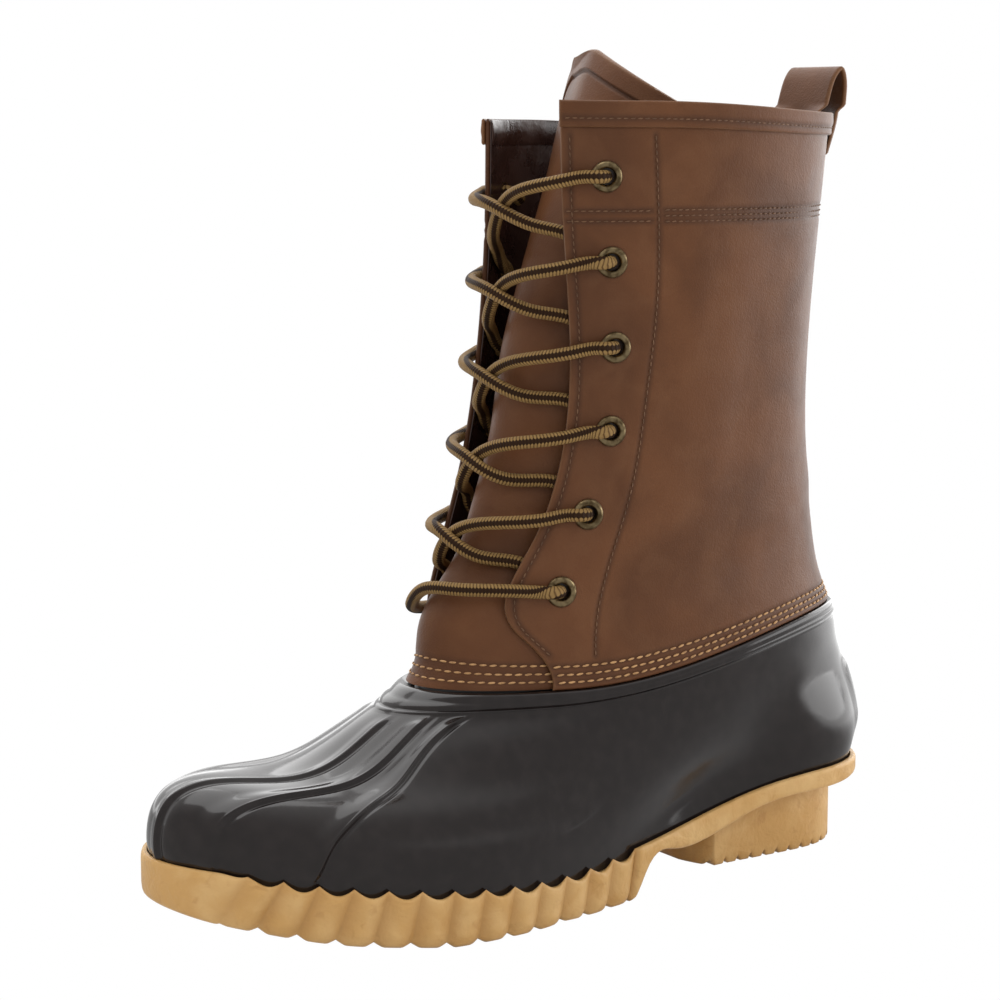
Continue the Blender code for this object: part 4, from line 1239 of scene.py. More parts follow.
@dataclass
class Outsole:
    """Gum outsole: tread, rand with slanted lobes under a scalloped lip, and the toothed heel."""

    finish: Finish = GumFinish()
    flutes: int = 14
    flute_points: int = 14
    flute_depth: float = 1.5
    swell: float = 0.55
    swell_at: float = 0.22
    swell_spread: float = 0.16
    slants: tuple[float, float, float] = (0.95, 0.25, 0.3)
    toe_fade: float = 2.0
    scallop_depth: float = 2.6
    tread_groove: float = 1.6
    tread_land: float = 0.3
    flutes_start_y: float = -129.0
    flutes_end_y: float = 22.0
    toe_segments: int = 24
    shank_segments: int = 70
    shank_start: float = 1.0
    samples: int = 2400
    tread_insets: tuple[float, ...] = (8.0, 3.2, 2.2)
    tread_depth: float = 0.25
    rand_foot: tuple[RandRow, ...] = (
        RandRow(0.03, 1.2, 0.5),
        RandRow(0.07, 0.6, 0.7),
        RandRow(0.13, 0.25, 0.9),
        RandRow(0.2, 0.1, 1.0),
    )
    rand_face: Span = (0.28, 0.8, 9)
    rand_brow: tuple[RandRow, ...] = (
        RandRow(0.87, 0.08, 1.0),
        RandRow(0.93, 0.25, 0.95),
        RandRow(0.975, 0.5, 0.85),
        RandRow(1.0, 0.95, 0.7),
    )
    lip_edge: float = 1.9
    lip_thickness: float = 3.0
    heel_inset: float = 9.8
    breast_y: float = 62.0
    breast_bow: float = 0.011
    heel_ends: Pair = (0.05, 0.15)
    heel_sections: int = 170
    heel_crowding: float = 1.3
    heel_samples: int = 400
    heel_overlap: float = 2.5
    tooth_start: float = 1.0
    tooth_pitch: float = 5.8
    tooth_groove: float = 2.0
    tooth_gap: Pair = (0.81, 0.24)
    tooth_round: float = 1.1
    corner_share: float = 0.3

    def side_stations(self, side: Side) -> tuple[Array, Array, Array, Array, Array]:
        """Stations along one side.

        Args:
            side: which side.

        Returns:
            Arc lengths from the toe, places counted in flutes (nan off them), slants, and a table of arcs
            and angles.
        """
        phi = np.linspace(0, math.pi, self.samples)
        plan = LAST.outline(phi if side is Side.OUTER else FULL_TURN - phi)
        lengths = walked(plan)
        first = np.interp(self.flutes_start_y, plan[:, 1], lengths)
        last = np.interp(self.flutes_end_y, plan[:, 1], lengths)
        places = np.linspace(0, self.flutes, self.flutes * self.flute_points + 1)
        arcs = [
            np.linspace(0, first, self.toe_segments + 1)[:-1],
            first + (last - first) / self.flutes * places,
            np.linspace(last + self.shank_start, lengths[-1], self.shank_segments),
        ]
        arcs = np.concatenate(arcs)
        place = np.full(len(arcs), np.nan)
        place[self.toe_segments : self.toe_segments + len(places)] = places
        pitch = (last - first) / self.flutes
        marks = [0, first, (first + last) / 2, last, lengths[-1]]
        slant = pitch * np.interp(arcs, marks, [0, *self.slants, 0])
        return arcs, place, slant, lengths, phi

    def loop(self, inset: float, up: float, depth: float, height: Callable) -> tuple[Array, Array]:
        """One loop of the outsole.

        Args:
            inset: distance inside the outline.
            up: share of the rand's height, which sets how far the slanted grooves have moved.
            depth: share of the grooves' depth.
            height: gives z from y, the lobe (1 on a lobe, 0 in a groove) and the groove (1 in a groove).

        Returns:
            Points round the sole, and each point's groove.
        """
        points, grooves = [], []
        for side in Side:
            arcs, place, slant, lengths, phi = self.side_stations(side)
            angle = np.interp(arcs - slant * (1 - up), lengths, phi)
            angle = angle if side is Side.OUTER else FULL_TURN - angle
            shown = np.where(np.isnan(place), 0.0, smooth_step(np.nan_to_num(place) / self.toe_fade))
            wave = np.abs(np.sin(math.pi * np.nan_to_num(place)))
            lobe, groove = shown * wave, shown * (1 - wave)
            swell = self.swell * lobe * math.exp(-(((up - self.swell_at) / self.swell_spread) ** 2)) * depth
            plan = LAST.outline(angle, inset + self.flute_depth * depth * groove - swell)
            points.append(np.column_stack([plan, height(plan[:, 1], lobe, groove)]))
            grooves.append(groove * depth)
        return (
            np.concatenate([points[0], points[1][-2:0:-1]]),
            np.concatenate([grooves[0], grooves[1][-2:0:-1]]),
        )

    def tread_height(self, y: Array, lobe: Array, groove: Array) -> Array:
        """Height of the tread: flat lands with grooves between them."""
        off_land = np.clip((groove - self.tread_land) / (1 - self.tread_land), 0, 1)
        return LAST.sole_height(y, "bottom") + self.tread_groove * off_land

    def rand_height(self, up: float) -> Callable:
        """Heights of the rand between the tread and the scalloped lip.

        Args:
            up: share of the rand's height.

        Returns:
            A function of y, lobe and groove, for loop.
        """

        def height(y: Array, lobe: Array, groove: Array) -> Array:
            """Heights at these places."""
            low = self.tread_height(y, lobe, groove)
            high = LAST.sole_height(y, "top") - self.scallop_depth * lobe
            return low + (high - low) * up

        return height

    def heel_block(self) -> Mesh:
        """Heel under the plate: cross sections from the bowed breast to the back, toothed below.

        Returns:
            A closed mesh that reaches into the plate.
        """
        phi = np.linspace(math.pi / 2, math.pi, self.heel_samples)
        outer = LAST.outline(phi, self.heel_inset)
        inner = LAST.outline(FULL_TURN - phi, self.heel_inset)
        front, back = self.heel_ends
        crowded = np.linspace(0, 1, self.heel_sections) ** self.heel_crowding
        y = self.breast_y + front + crowded * (outer[-1, 1] - back - self.breast_y)
        tooth = ((y - self.breast_y - self.tooth_start) / self.tooth_pitch) % 1.0
        z = self.tooth_groove * hump((tooth - self.tooth_gap[0]) / self.tooth_gap[1])
        bow = np.sqrt((y - self.breast_y) / self.breast_bow)
        left = np.minimum(np.interp(y, outer[:, 1], outer[:, 0]), bow)
        right = np.maximum(np.interp(y, inner[:, 1], inner[:, 0]), -bow)
        top = LAST.sole_height(y, "bottom") + self.heel_overlap
        soft = np.minimum(self.tooth_round, (left - right) / 4)
        corner = soft * self.corner_share
        above_teeth = np.full_like(y, self.tooth_groove + 2 * self.tooth_round)
        section = [
            (left - soft, z),
            (right + soft, z),
            (right + corner, z + corner),
            (right, z + soft),
            (right, above_teeth),
            (right, top),
            (left, top),
            (left, above_teeth),
            (left, z + soft),
            (left - corner, z + corner),
        ]
        points = np.stack([np.stack([x, y, height], -1) for x, height in section], 1)
        index = numbered(points)
        faces = grid_faces(index).tolist() + [index[end, :-1].tolist() for end in (0, -1)]
        return new_mesh("heel_block", points, faces)

    def build(self) -> None:
        """Builds the outsole."""
        loops = [self.loop(inset, 0.0, self.tread_depth, self.tread_height) for inset in self.tread_insets]
        face = [RandRow(float(up), 0.0, 1.0) for up in np.linspace(*self.rand_face)]
        for row in (*self.rand_foot, *face, *self.rand_brow):
            loops.append(self.loop(row.inset, row.up, row.depth, self.rand_height(row.up)))
        loops.append(self.loop(self.lip_edge, 1.0, 0.0, self.rand_height(1.0)))
        loops.append(self.loop(self.lip_thickness, 1.0, 0.0, lambda y, lobe, groove: LAST.seat_height(y)))
        # the groove share is kept as a mark that paints shade and dirt into the grooves
        points, recess = (np.array(rows) for rows in zip(*loops))
        plate = stack("outsole_plate", points, {"recess": recess})
        whole = combine(plate, self.heel_block(), "UNION")
        set_out("gum_outsole", whole, self.finish, ["outsole"])


@dataclass
class Insole:
    """Footbed: a soft sheet on the sole's seat."""

    finish: Finish = FootbedFinish()
    inset: float = 7.0
    half_points: int = 90
    edge: Pairs = (
        (0.4, 0.0), (0.0, 0.8), (0.0, 2.9), (0.5, 3.7), (1.6, 4.0), (9.0, 4.0),
    )

    def build(self) -> None:
        """Builds the footbed."""
        half = np.linspace(0, math.pi, self.half_points)
        phi = np.concatenate([half, FULL_TURN - half[-2:0:-1]])
        loops = []
        for inset, lift in self.edge:
            plan = LAST.outline(phi, self.inset + inset)
            loops.append(np.column_stack([plan, LAST.seat_height(plan[:, 1]) + GAP + lift]))
        set_out("footbed", stack("footbed", np.array(loops)), self.finish, ["insole"])


class Pleat(NamedTuple):
    """A pleat of the shell: degrees from the toe line at four places, from the sole to the top."""

    at_sole: float
    at_third: float
    at_two_thirds: float
    at_top: float

    def phi(self, v: float) -> float:
        """Angle of the crest at a place of the shell."""
        knots = np.linspace(0, LAST.shell_top_v, len(self))
        return math.radians(float(spline(knots, self, np.array([v]))[0, 0]))


@dataclass
class Shell:
    """Rubber lower: panels that rise to sharp pleats, a waist, a rolled band and a heel pad."""

    finish: Finish = ShellFinish()
    wall_thickness: float = 2.5
    band_height: float = 8.6
    flange_height: float = 15.0
    flange_wall: float = 1.3
    flange_ease: float = 0.5
    two_leathers: Pair = (math.radians(100), math.radians(20))
    toe_pleat: Pleat = Pleat(3.0, 3.0, 13.5, 8.0)
    side_pleats: tuple[Pleat, ...] = (Pleat(22.0, 24.0, 31.0, 24.0), Pleat(42.0, 46.0, 40.0, 40.0))
    toe_height: float = 0.8
    side_height: float = 1.2
    bead_height: float = 0.15
    bead_run: float = 0.9
    rise_run: float = 9.0
    rise_share: float = 0.75
    toe_rise_run: float = 5.0
    drop_run: float = 2.2
    groove_run: float = 4.2
    groove_depth: float = 0.3
    pleat_start: float = 3.0
    pleat_ease: float = 5.0
    waist_depths: Pair = (1.2, 4.0)
    waist_ends: Pair = (8.0, 110.0)
    waist_ease: Pair = (55.0, 34.0)
    waist_height: Pair = (7.0, 17.0)
    waist_return: float = 34.0
    pad_rise: float = 1.4
    pad_edge: float = math.radians(21.0)
    pad_ramp: float = math.radians(4.0)
    pad_up: float = 0.3
    pad_reach: float = 0.16
    pad_fade: float = 1.6
    body_rows: int = 84
    toe_columns: tuple[int, ...] = (8, 6)
    pleat_columns: tuple[int, ...] = (8, 8, 5, 8, 5)
    heel_columns: int = 100
    search: Span = (-0.3, math.pi, 900)
    band: Pairs = (
        (0.0, 0.0), (0.5, 0.4), (1.1, 0.75), (1.9, 0.9), (2.8, 0.9), (3.5, 0.8), (4.0, 0.72),
        (4.5, 0.78), (5.2, 0.9), (5.9, 0.88), (6.5, 0.68), (6.9, 0.3), (7.2, 0.05), (7.5, 0.15),
        (7.8, 0.34), (8.1, 0.34), (8.4, 0.15),
    )

    def pleat(self, past: Array, height: float, rise: float) -> Array:
        """Lift of a pleat: a gentle rise to a beaded crest, then a steep drop into a groove.

        Args:
            past: distances past the crest, towards the drop.
            height: height of the crest.
            rise: length of the rise.

        Returns:
            The lift at those distances.
        """
        lift = height * np.where(past < 0, hump(past / rise), 1 - smooth_step(past / self.drop_run))
        groove = hump((past - self.drop_run) / (self.groove_run - self.drop_run))
        return lift + self.bead_height * hump(past / self.bead_run) - self.groove_depth * groove

    def half(self, v: float, side: Side) -> tuple[Array, Array]:
        """Columns of one side of a row, from the toe pleat's crest to the heel.

        Args:
            v: place of the row.
            side: which side.

        Returns:
            Angles from the toe line and the pleats' lifts.
        """
        phi = np.linspace(*self.search)
        lengths = walked(LAST.form(side.value * phi, v))
        toe = float(np.interp(side.value * self.toe_pleat.phi(v), phi, lengths))
        falls = side is Side.OUTER
        runs = (self.drop_run, self.groove_run) if falls else (self.bead_run, self.toe_rise_run)
        marks = [toe, toe + runs[0], toe + runs[1]]
        counts = [*self.toe_columns]
        crests = []
        for pleat in self.side_pleats:
            crest = float(np.interp(pleat.phi(v), phi, lengths))
            rise = min(self.rise_run, self.rise_share * (crest - marks[-1]))
            crests.append((crest, rise))
            steps = (-rise, -self.bead_run, 0.0, self.drop_run, self.groove_run)
            marks += [crest + step for step in steps]
            counts += self.pleat_columns
        marks.append(float(lengths[-1]))
        counts.append(self.heel_columns)
        runs_between = zip(marks, marks[1:], counts)
        arcs = np.concatenate([np.linspace(a, b, n, endpoint=False) for a, b, n in runs_between])
        lift = self.pleat(side.value * (arcs - toe), self.toe_height, runs[1])
        for crest, rise in crests:
            lift = lift + self.pleat(arcs - crest, self.side_height, rise)
        return np.interp(arcs, lengths, phi), lift

    def columns(self, v: float) -> tuple[Array, Array]:
        """Angles round the boot and the pleats' lifts of a row, from the toe pleat's crest."""
        outer, outer_lift = self.half(v, Side.OUTER)
        inner, inner_lift = self.half(v, Side.INNER)
        angles = np.concatenate([outer, [math.pi], FULL_TURN - inner[:0:-1]])
        return angles, np.concatenate([outer_lift, [0.0], inner_lift[:0:-1]])

    def waist(self, phi: Array, v: float) -> Array:
        """How far the shell is drawn in above the sole's edge, from the shank to the heel.

        Args:
            phi: angles round the boot.
            v: place of the row.

        Returns:
            Distances inwards.
        """
        points = LAST.form(phi, v)
        y = points[..., 1]
        up = np.maximum(points[..., 2] - LAST.seat_height(y), 0.0)
        from_shank, from_heel = y - self.waist_ends[0], self.waist_ends[1] - y
        along = smooth_step(from_shank / self.waist_ease[0]) * smooth_step(from_heel / self.waist_ease[1])
        deepest = np.interp(y, self.waist_ends, self.waist_height)
        above = 1 - smooth_step((up - deepest) / self.waist_return)
        upwards = np.where(up < deepest, smooth_step(up / deepest), above)
        inner, outer = self.waist_depths
        return (inner + (outer - inner) * LAST.outer_share(phi)) * along * upwards

    def pad(self, phi: Array, v: float) -> Array:
        """Share of the plain raised pad behind the heel."""
        sideways = smooth_step((self.pad_edge - np.abs(phi - math.pi)) / self.pad_ramp)
        from_middle = abs(v / LAST.shell_top_v - self.pad_up) / self.pad_reach
        return sideways * smooth_step(self.pad_fade - from_middle)

    def flange_depth(self, phi: Array) -> Array:
        """How deep the sewing flange lies: under two leathers in front, under one behind."""
        from_front = np.minimum(phi, FULL_TURN - phi)
        start, ramp = self.two_leathers
        second = np.clip((start - from_front) / ramp, 0, 1)
        return LEATHER + GAP + second * (LEATHER + 3 * GAP + self.flange_ease)

    def build(self) -> None:
        """Builds the shell."""
        top_v = LAST.shell_top_v
        band_v = top_v - self.band_height
        flange_v = float(LAST.v_at_level(LAST.shell_top + self.flange_height))
        rows = [(float(v), 0.0) for v in np.linspace(0, band_v, self.body_rows)]
        rows += [(top_v - below, lift) for below, lift in self.band[::-1]]
        outside, inside = [], []
        for v, lift in rows:
            phi, pleats = self.columns(v)
            room = min((v - self.pleat_start) / self.pleat_ease, (band_v - v) / self.pleat_ease)
            drawn_in = self.waist(phi, v)
            lift = lift + pleats * float(smooth_step(room)) + self.pad_rise * self.pad(phi, v)
            near_top = np.clip((v - band_v) / self.band_height, 0, 1)
            at_flange = self.flange_depth(phi) + self.flange_wall
            deep = self.wall_thickness + near_top * (at_flange - self.wall_thickness)
            outside.append(LAST.offset(phi, v, lift - drawn_in))
            inside.append(LAST.offset(phi, v, -deep - drawn_in))
        for v in (top_v, flange_v):
            phi, _ = self.columns(top_v)
            outside.append(LAST.offset(phi, v, -self.flange_depth(phi)))
            inside.append(LAST.offset(phi, v, -self.flange_depth(phi) - self.flange_wall))
        mesh = wall("rubber_shell", np.array(outside), np.array(inside), closed=True)
        set_out("rubber_shell", mesh, self.finish, ["shell"])


@dataclass
class Quarters:
    """Leather shaft: one wrap from throat edge to throat edge, its collar band, lining and pull loop."""

    finish: Finish = OILED
    inner_finish: Finish = LiningFinish()
    counts: tuple[int, ...] = (11, 12, 8, 110, 8, 12, 11)
    samples: int = 500
    fine_pitch: float = 0.75
    pitches: Pairs = ((88.0, 1.9), (225.0, 0.75), (237.0, 1.9))
    edge_run: float = 7.5
    stay_run: float = 2.4
    groove: float = 0.32
    dark_edge: Pair = (2.5, 1.5)
    rim_width: float = 0.9
    hole_radius: float = 3.7
    hole_depth: float = 14.4
    hole_sides: int = 28
    strip_rows: int = 18
    sheet_gap: float = 0.06
    band_wall: float = 1.0
    band_puff: float = 0.3
    band_rim: Pair = (0.6, 0.7)
    lining_wall: float = 0.35
    lining_start: float = 92.0
    lining_drop: float = 0.5
    lining_rows: int = 70
    facing_height: float = 9.0
    facing_drop: float = 0.2
    facing_wall: float = 0.2
    facing_puff: float = 0.55
    loop_width: float = 27.0
    loop_strap: float = 1.6
    loop_rows: int = 70
    loop_flattening: float = 0.95
    loop_ease: float = 3.0
    loop_columns: int = 15
    loop_edge: Pair = (0.4, 1.2)
    loop_rim: float = 0.7
    crease_blend: float = 12.0
    loop: Pairs = (
        (-0.2, 250.0), (2.0, 256.0), (3.7, 261.0), (4.7, 266.0), (5.3, 272.0), (5.1, 277.0),
        (3.4, 280.2), (1.2, 278.6), (-0.9, 275.0), (-2.6, 270.0), (-3.9, 265.0), (-4.7, 258.0),
        (-5.2, 250.0),
    )
    creases: tuple[Crease, ...] = (
        Crease(Side.OUTER, 78.0, 112.0, 0.35, 34.0, 7.0, 0.9),
        Crease(Side.OUTER, 92.0, 127.0, 0.30, 30.0, 7.0, -0.7),
        Crease(Side.OUTER, 60.0, 98.0, 0.25, 30.0, 6.0, -0.5),
        Crease(Side.OUTER, 70.0, 170.0, 1.45, 46.0, 10.0, 0.7),
        Crease(Side.OUTER, 96.0, 190.0, 1.55, 60.0, 9.0, -0.6),
        Crease(Side.OUTER, 45.0, 205.0, 1.50, 40.0, 8.0, -0.5),
        Crease(Side.INNER, 74.0, 110.0, 0.35, 34.0, 7.0, 0.9),
        Crease(Side.INNER, 88.0, 126.0, 0.30, 30.0, 7.0, -0.7),
        Crease(Side.INNER, 66.0, 175.0, 1.50, 50.0, 10.0, 0.7),
        Crease(Side.INNER, 92.0, 200.0, 1.55, 50.0, 9.0, -0.6),
    )

    def angles(self, level: float) -> tuple[Array, Array]:
        """Columns of a row.

        Args:
            level: height of the row in front.

        Returns:
            Angles from the outer edge round the heel to the inner edge, and distances from the nearer edge.
        """
        start, end = LAST.edge_phi(level, Side.OUTER), FULL_TURN + LAST.edge_phi(level, Side.INNER)
        phi = np.linspace(start, end, self.samples)
        lengths = walked(LAST.form(phi, LAST.v_at_level(level)))
        outer_stay = np.interp(float(SEAMS.eyestay_phi(level, Side.OUTER)), phi, lengths)
        inner_stay = np.interp(FULL_TURN + float(SEAMS.eyestay_phi(level, Side.INNER)), phi, lengths)
        end = lengths[-1]
        marks = [0.0, self.edge_run, outer_stay - self.stay_run, outer_stay + self.stay_run]
        marks += [inner_stay - self.stay_run, inner_stay + self.stay_run, end - self.edge_run, end]
        runs = [np.linspace(a, b, n, endpoint=False) for a, b, n in zip(marks, marks[1:], self.counts)]
        arcs = np.concatenate([*runs, [end]])
        return np.interp(arcs, lengths, phi), np.minimum(arcs, end - arcs)

    def folds(self, points: Array) -> Array:
        """Lift of the placed creases.

        Args:
            points: grid of points on the shaft.

        Returns:
            A grid of lifts, below 0 in the troughs.
        """
        lift = np.zeros(points.shape[:2])
        for crease in self.creases:
            y = points[..., 1] - crease.y
            z = points[..., 2] - crease.z
            along = (y * math.cos(crease.tilt) + z * math.sin(crease.tilt)) / crease.length
            across = (z * math.cos(crease.tilt) - y * math.sin(crease.tilt)) / crease.width
            there = smooth_step(points[..., 0] * crease.side.value / self.crease_blend)
            lift -= crease.depth * np.exp(-(along**2) - across**2) * there
        return lift

    def grid(self, levels: Array) -> tuple[Array, Array, Array]:
        """Angles, places and edge distances of a grid on the shaft."""
        rows = [self.angles(float(level)) for level in levels]
        phi = np.array([row[0] for row in rows])
        v = np.repeat(LAST.v_at_level(levels)[:, None], phi.shape[1], 1)
        return phi, v, np.array([row[1] for row in rows])

    def holes(self) -> Mesh:
        """Cylinders through the leather at the eyelets.

        Returns:
            One mesh of them all.
        """
        shape = bmesh.new()
        radius = self.hole_radius * MM
        size = {"radius1": radius, "radius2": radius, "depth": self.hole_depth * MM}
        for side, row in Eyelets.rows():
            place = Eyelets.place(side, row)
            bmesh.ops.create_cone(shape, cap_ends=True, segments=self.hole_sides, matrix=place, **size)
        mesh = bpy.data.meshes.new("eyelet_holes")
        shape.to_mesh(mesh)
        shape.free()
        return mesh

    def build_wrap(self) -> None:
        """Builds the leather wrap with its creases, sunk seams and eyelet holes."""
        ends = [(level, self.fine_pitch) for level in (LAST.shell_top + ABOVE_SHELL, LAST.collar_top)]
        phi, v, from_edge = self.grid(fine_steps([ends[0], *self.pitches, ends[1]]))
        flat = LAST.form(phi, v)
        sunk = SEAMS.sunk(flat, SEAMS.quarter_seams)
        folds = self.folds(flat)
        outside = LAST.offset(phi, v, folds - self.groove * sunk)
        inside = LAST.offset(phi, v, folds - LEATHER)
        on_outer = flat[..., 0] > 0
        reach, ramp = self.dark_edge
        dark = smooth_step((reach - from_edge) / ramp)
        # the seam mark is painted shade in the sunk seam grooves; on the inner quarter it also darkens the
        # leather near the front edge
        marks = {
            "seam": np.where(on_outer, sunk, np.maximum(sunk, dark)),
            "rim": np.where(on_outer, hump(from_edge / self.rim_width), 0.0),
        }
        mesh = wall("leather_quarters", *soften(outside, inside), closed=False, marks=marks)
        mesh = combine(mesh, self.holes(), "DIFFERENCE")
        set_out("leather_quarters", mesh, self.finish, ["quarters"])

    def build_band(self) -> None:
        """Builds the strip sewn round the outside of the collar."""
        levels = np.linspace(LAST.collar_top - SEAMS.band_height, LAST.collar_top, self.strip_rows)
        phi, v, from_edge = self.grid(levels)
        lift = GAP + self.band_wall
        sunk = SEAMS.sunk(LAST.offset(phi, v, lift), SEAMS.band_seams)
        puff = self.band_puff * hump(np.linspace(-1, 1, len(levels)))[:, None]
        outside = LAST.offset(phi, v, lift + puff - self.groove * sunk)
        edge = np.minimum(levels - levels[0], levels[-1] - levels)[:, None]
        share, width = self.band_rim
        rim = np.maximum(hump(from_edge / self.rim_width), share * hump(edge / width))
        inside = LAST.offset(phi, v, self.sheet_gap)
        # the seam mark is painted shade in the sunk seam groove
        marks = {"seam": sunk, "rim": rim}
        set_out_sheet("collar_strip", outside, inside, self.finish, ["collar_band"], marks)

    def build_lining(self) -> None:
        """Builds the thin lining inside the wrap."""
        top = LAST.collar_top - self.lining_drop
        phi, v, _ = self.grid(np.linspace(self.lining_start, top, self.lining_rows))
        lift = self.folds(LAST.form(phi, v)) - LEATHER - self.sheet_gap
        outside = LAST.offset(phi, v, lift)
        inside = LAST.offset(phi, v, lift - self.lining_wall)
        set_out("shaft_lining", wall("lining", outside, inside, closed=False), self.inner_finish)

    def build_facing(self) -> None:
        """Builds the puffed slick facing along the top of the lining."""
        ends = (LAST.collar_top - drop for drop in (self.facing_height, self.facing_drop))
        levels = np.linspace(*ends, self.strip_rows)
        phi, v, _ = self.grid(levels)
        depth = LEATHER + self.sheet_gap + self.lining_wall + self.sheet_gap
        puff = self.facing_puff * hump(np.linspace(-1, 1, len(levels)))[:, None] ** 0.5
        inside = LAST.offset(phi, v, -depth - self.facing_wall - puff)
        set_out_sheet("collar_facing", LAST.offset(phi, v, -depth), inside, self.inner_finish)

    def build_loop(self) -> None:
        """Builds the strap folded over the collar behind: a leg outside, a tight fold and a leg inside."""
        lengths = walked(np.array(self.loop))
        at = np.linspace(0, lengths[-1], self.loop_rows)
        line = spline(lengths, self.loop, at)
        along = heading(lengths, self.loop, at)
        along /= np.linalg.norm(along, axis=1, keepdims=True)
        normal = np.stack([along[:, 1], -along[:, 0]], -1)
        collar = LAST.rings[-1]
        bow = 2 * collar.half_width**2 / ((collar.back_y - collar.front_y) / 2)
        half = self.loop_width / 2
        near, far = self.loop_edge
        middle = np.linspace(far - half, half - far, self.loop_columns)
        across = np.concatenate([[-half, near - half], middle, [half - near, half]])

        def face(lift: float) -> Array:
            """Points of the strap's face at a lift from its middle."""
            behind, height = (line + lift * normal).T[..., None]
            bowed = 1 - self.loop_flattening * smooth_step((height - collar.back_z) / self.loop_ease)
            y = collar.back_y + behind - bowed * across**2 / bow
            return np.stack([np.broadcast_to(across, y.shape), y, np.broadcast_to(height, y.shape)], -1)

        outside, inside = face(self.loop_strap / 2), face(-self.loop_strap / 2)
        rim = np.broadcast_to(hump((half - np.abs(across)) / self.loop_rim), outside.shape[:2])
        set_out_sheet("pull_strap", outside, inside, self.finish, ["pull_loop"], {"rim": rim})

    def build(self) -> None:
        """Builds the shaft's pieces."""
        self.build_wrap()
        self.build_lining()
        self.build_facing()
        self.build_band()
        self.build_loop()


@dataclass
class VampTongue:
    """Vamp and tongue: one leather sheet under the quarters, hemmed along its top."""

    finish: Finish = OILED
    columns: int = 96
    rows: int = 120
    hem_rows: int = 36
    hem_zone: float = 12.0
    hem: float = 7.0
    hem_rise: float = 0.6
    hem_ramp: float = 0.9
    hem_groove: float = 0.6
    hem_line: Pair = (0.3, 1.1)
    rim: Pair = (0.7, 1.6)
    groove: float = 0.32

    def build(self) -> None:
        """Builds the sheet."""
        across = np.linspace(-1, 1, self.columns)[None, :]
        share = np.linspace(0, 1, self.rows, endpoint=False)[:, None]
        bottom = LAST.shell_top + ABOVE_SHELL
        top = LAST.tongue_top_level(across)
        below_hem = bottom + (top - self.hem_zone - bottom) * share
        in_hem = top - np.linspace(self.hem_zone, 0, self.hem_rows)[:, None]
        level = np.concatenate([below_hem, in_hem])
        across = np.broadcast_to(across, level.shape)
        below_top = np.broadcast_to(top, level.shape) - level
        sunk = SEAMS.sunk(LAST.tongue_point(across, level, 0.0), SEAMS.vamp_seams)
        raised = smooth_step((self.hem - below_top) / self.hem_ramp) * self.hem_rise
        line = hump((below_top - self.hem - self.hem_line[0]) / self.hem_line[1])
        outside = LAST.tongue_point(across, level, self.groove * sunk + self.hem_groove * line - raised)
        inside = LAST.tongue_point(across, level, LEATHER)
        share, width = self.rim
        # the seam mark is painted shade in the sunk seam grooves and in the groove under the hem
        marks = {"seam": np.maximum(sunk, line), "rim": share * hump(below_top / width)}
        set_out_sheet("vamp_tongue_sheet", outside, inside, self.finish, ["vamp_tongue"], marks)


@dataclass
class Eyelets:
    """Twelve rolled brass eyelets."""

    finish: Finish = BrassFinish()
    segments: int = 40
    profile: Pairs = (
        (5.2, 0.3), (5.15, 0.65), (4.95, 1.0), (4.55, 1.32), (4.05, 1.5), (3.55, 1.45), (3.1, 1.2),
        (2.85, 0.8), (2.8, 0.2), (2.8, -2.3), (3.3, -2.3), (3.3, 0.3),
    )

    @staticmethod
    def rows() -> list[tuple[Side, int]]:
        """Side and row of every eyelet."""
        return [(side, row) for side in Side for row in range(len(LAST.eyelets))]

    @staticmethod
    def place(side: Side, row: int) -> Matrix:
        """Placement of an eyelet.

        Args:
            side: its side.
            row: its row, from the lowest.

        Returns:
            A matrix with its centre on the quarter's face and Z along the face's normal.
        """
        level = LAST.eyelet_level(side, row)
        phi = LAST.edge_phi(level, side, LAST.eyelets[row].setback)
        v = LAST.v_at_level(level)
        centre = Vector((LAST.form(phi, v) + CENTRING) * MM)
        turn = Vector(LAST.outward(phi, v)).to_track_quat("Z", "Y")
        return Matrix.Translation(centre) @ turn.to_matrix().to_4x4()

    def turned(self) -> Mesh:
        """One eyelet, turned about its axis."""
        angle = np.linspace(0, FULL_TURN, self.segments, endpoint=False)[:, None]
        r, z = np.array(self.profile).T
        height = np.broadcast_to(z, (self.segments, len(z)))
        points = np.stack([r * np.cos(angle), r * np.sin(angle), height], -1)
        index = numbered(points)
        index = np.concatenate([index, index[:1]])
        return new_mesh("eyelet", points - CENTRING, grid_faces(index).tolist())

    def build(self) -> None:
        """Sets the eyelets on points with Geometry Nodes."""
        pattern = placed("eyelet_pattern", self.turned())
        places = [self.place(side, row) for side, row in self.rows()]
        centres = np.array([place.translation for place in places])
        axes = np.array([place.to_3x3() @ Vector((0, 0, 1)) for place in places])
        scatter = Scatter("eyelet_rows", centres, {"out": axes})
        mesh = scatter.instances_of(pattern, self.finish.material)
        bpy.data.objects.remove(pattern)
        names = [f"eyelet_{side.name.lower()}_{row + 1}" for side, row in self.rows()]
        set_out("brass_eyelets", mesh, self.finish, names)


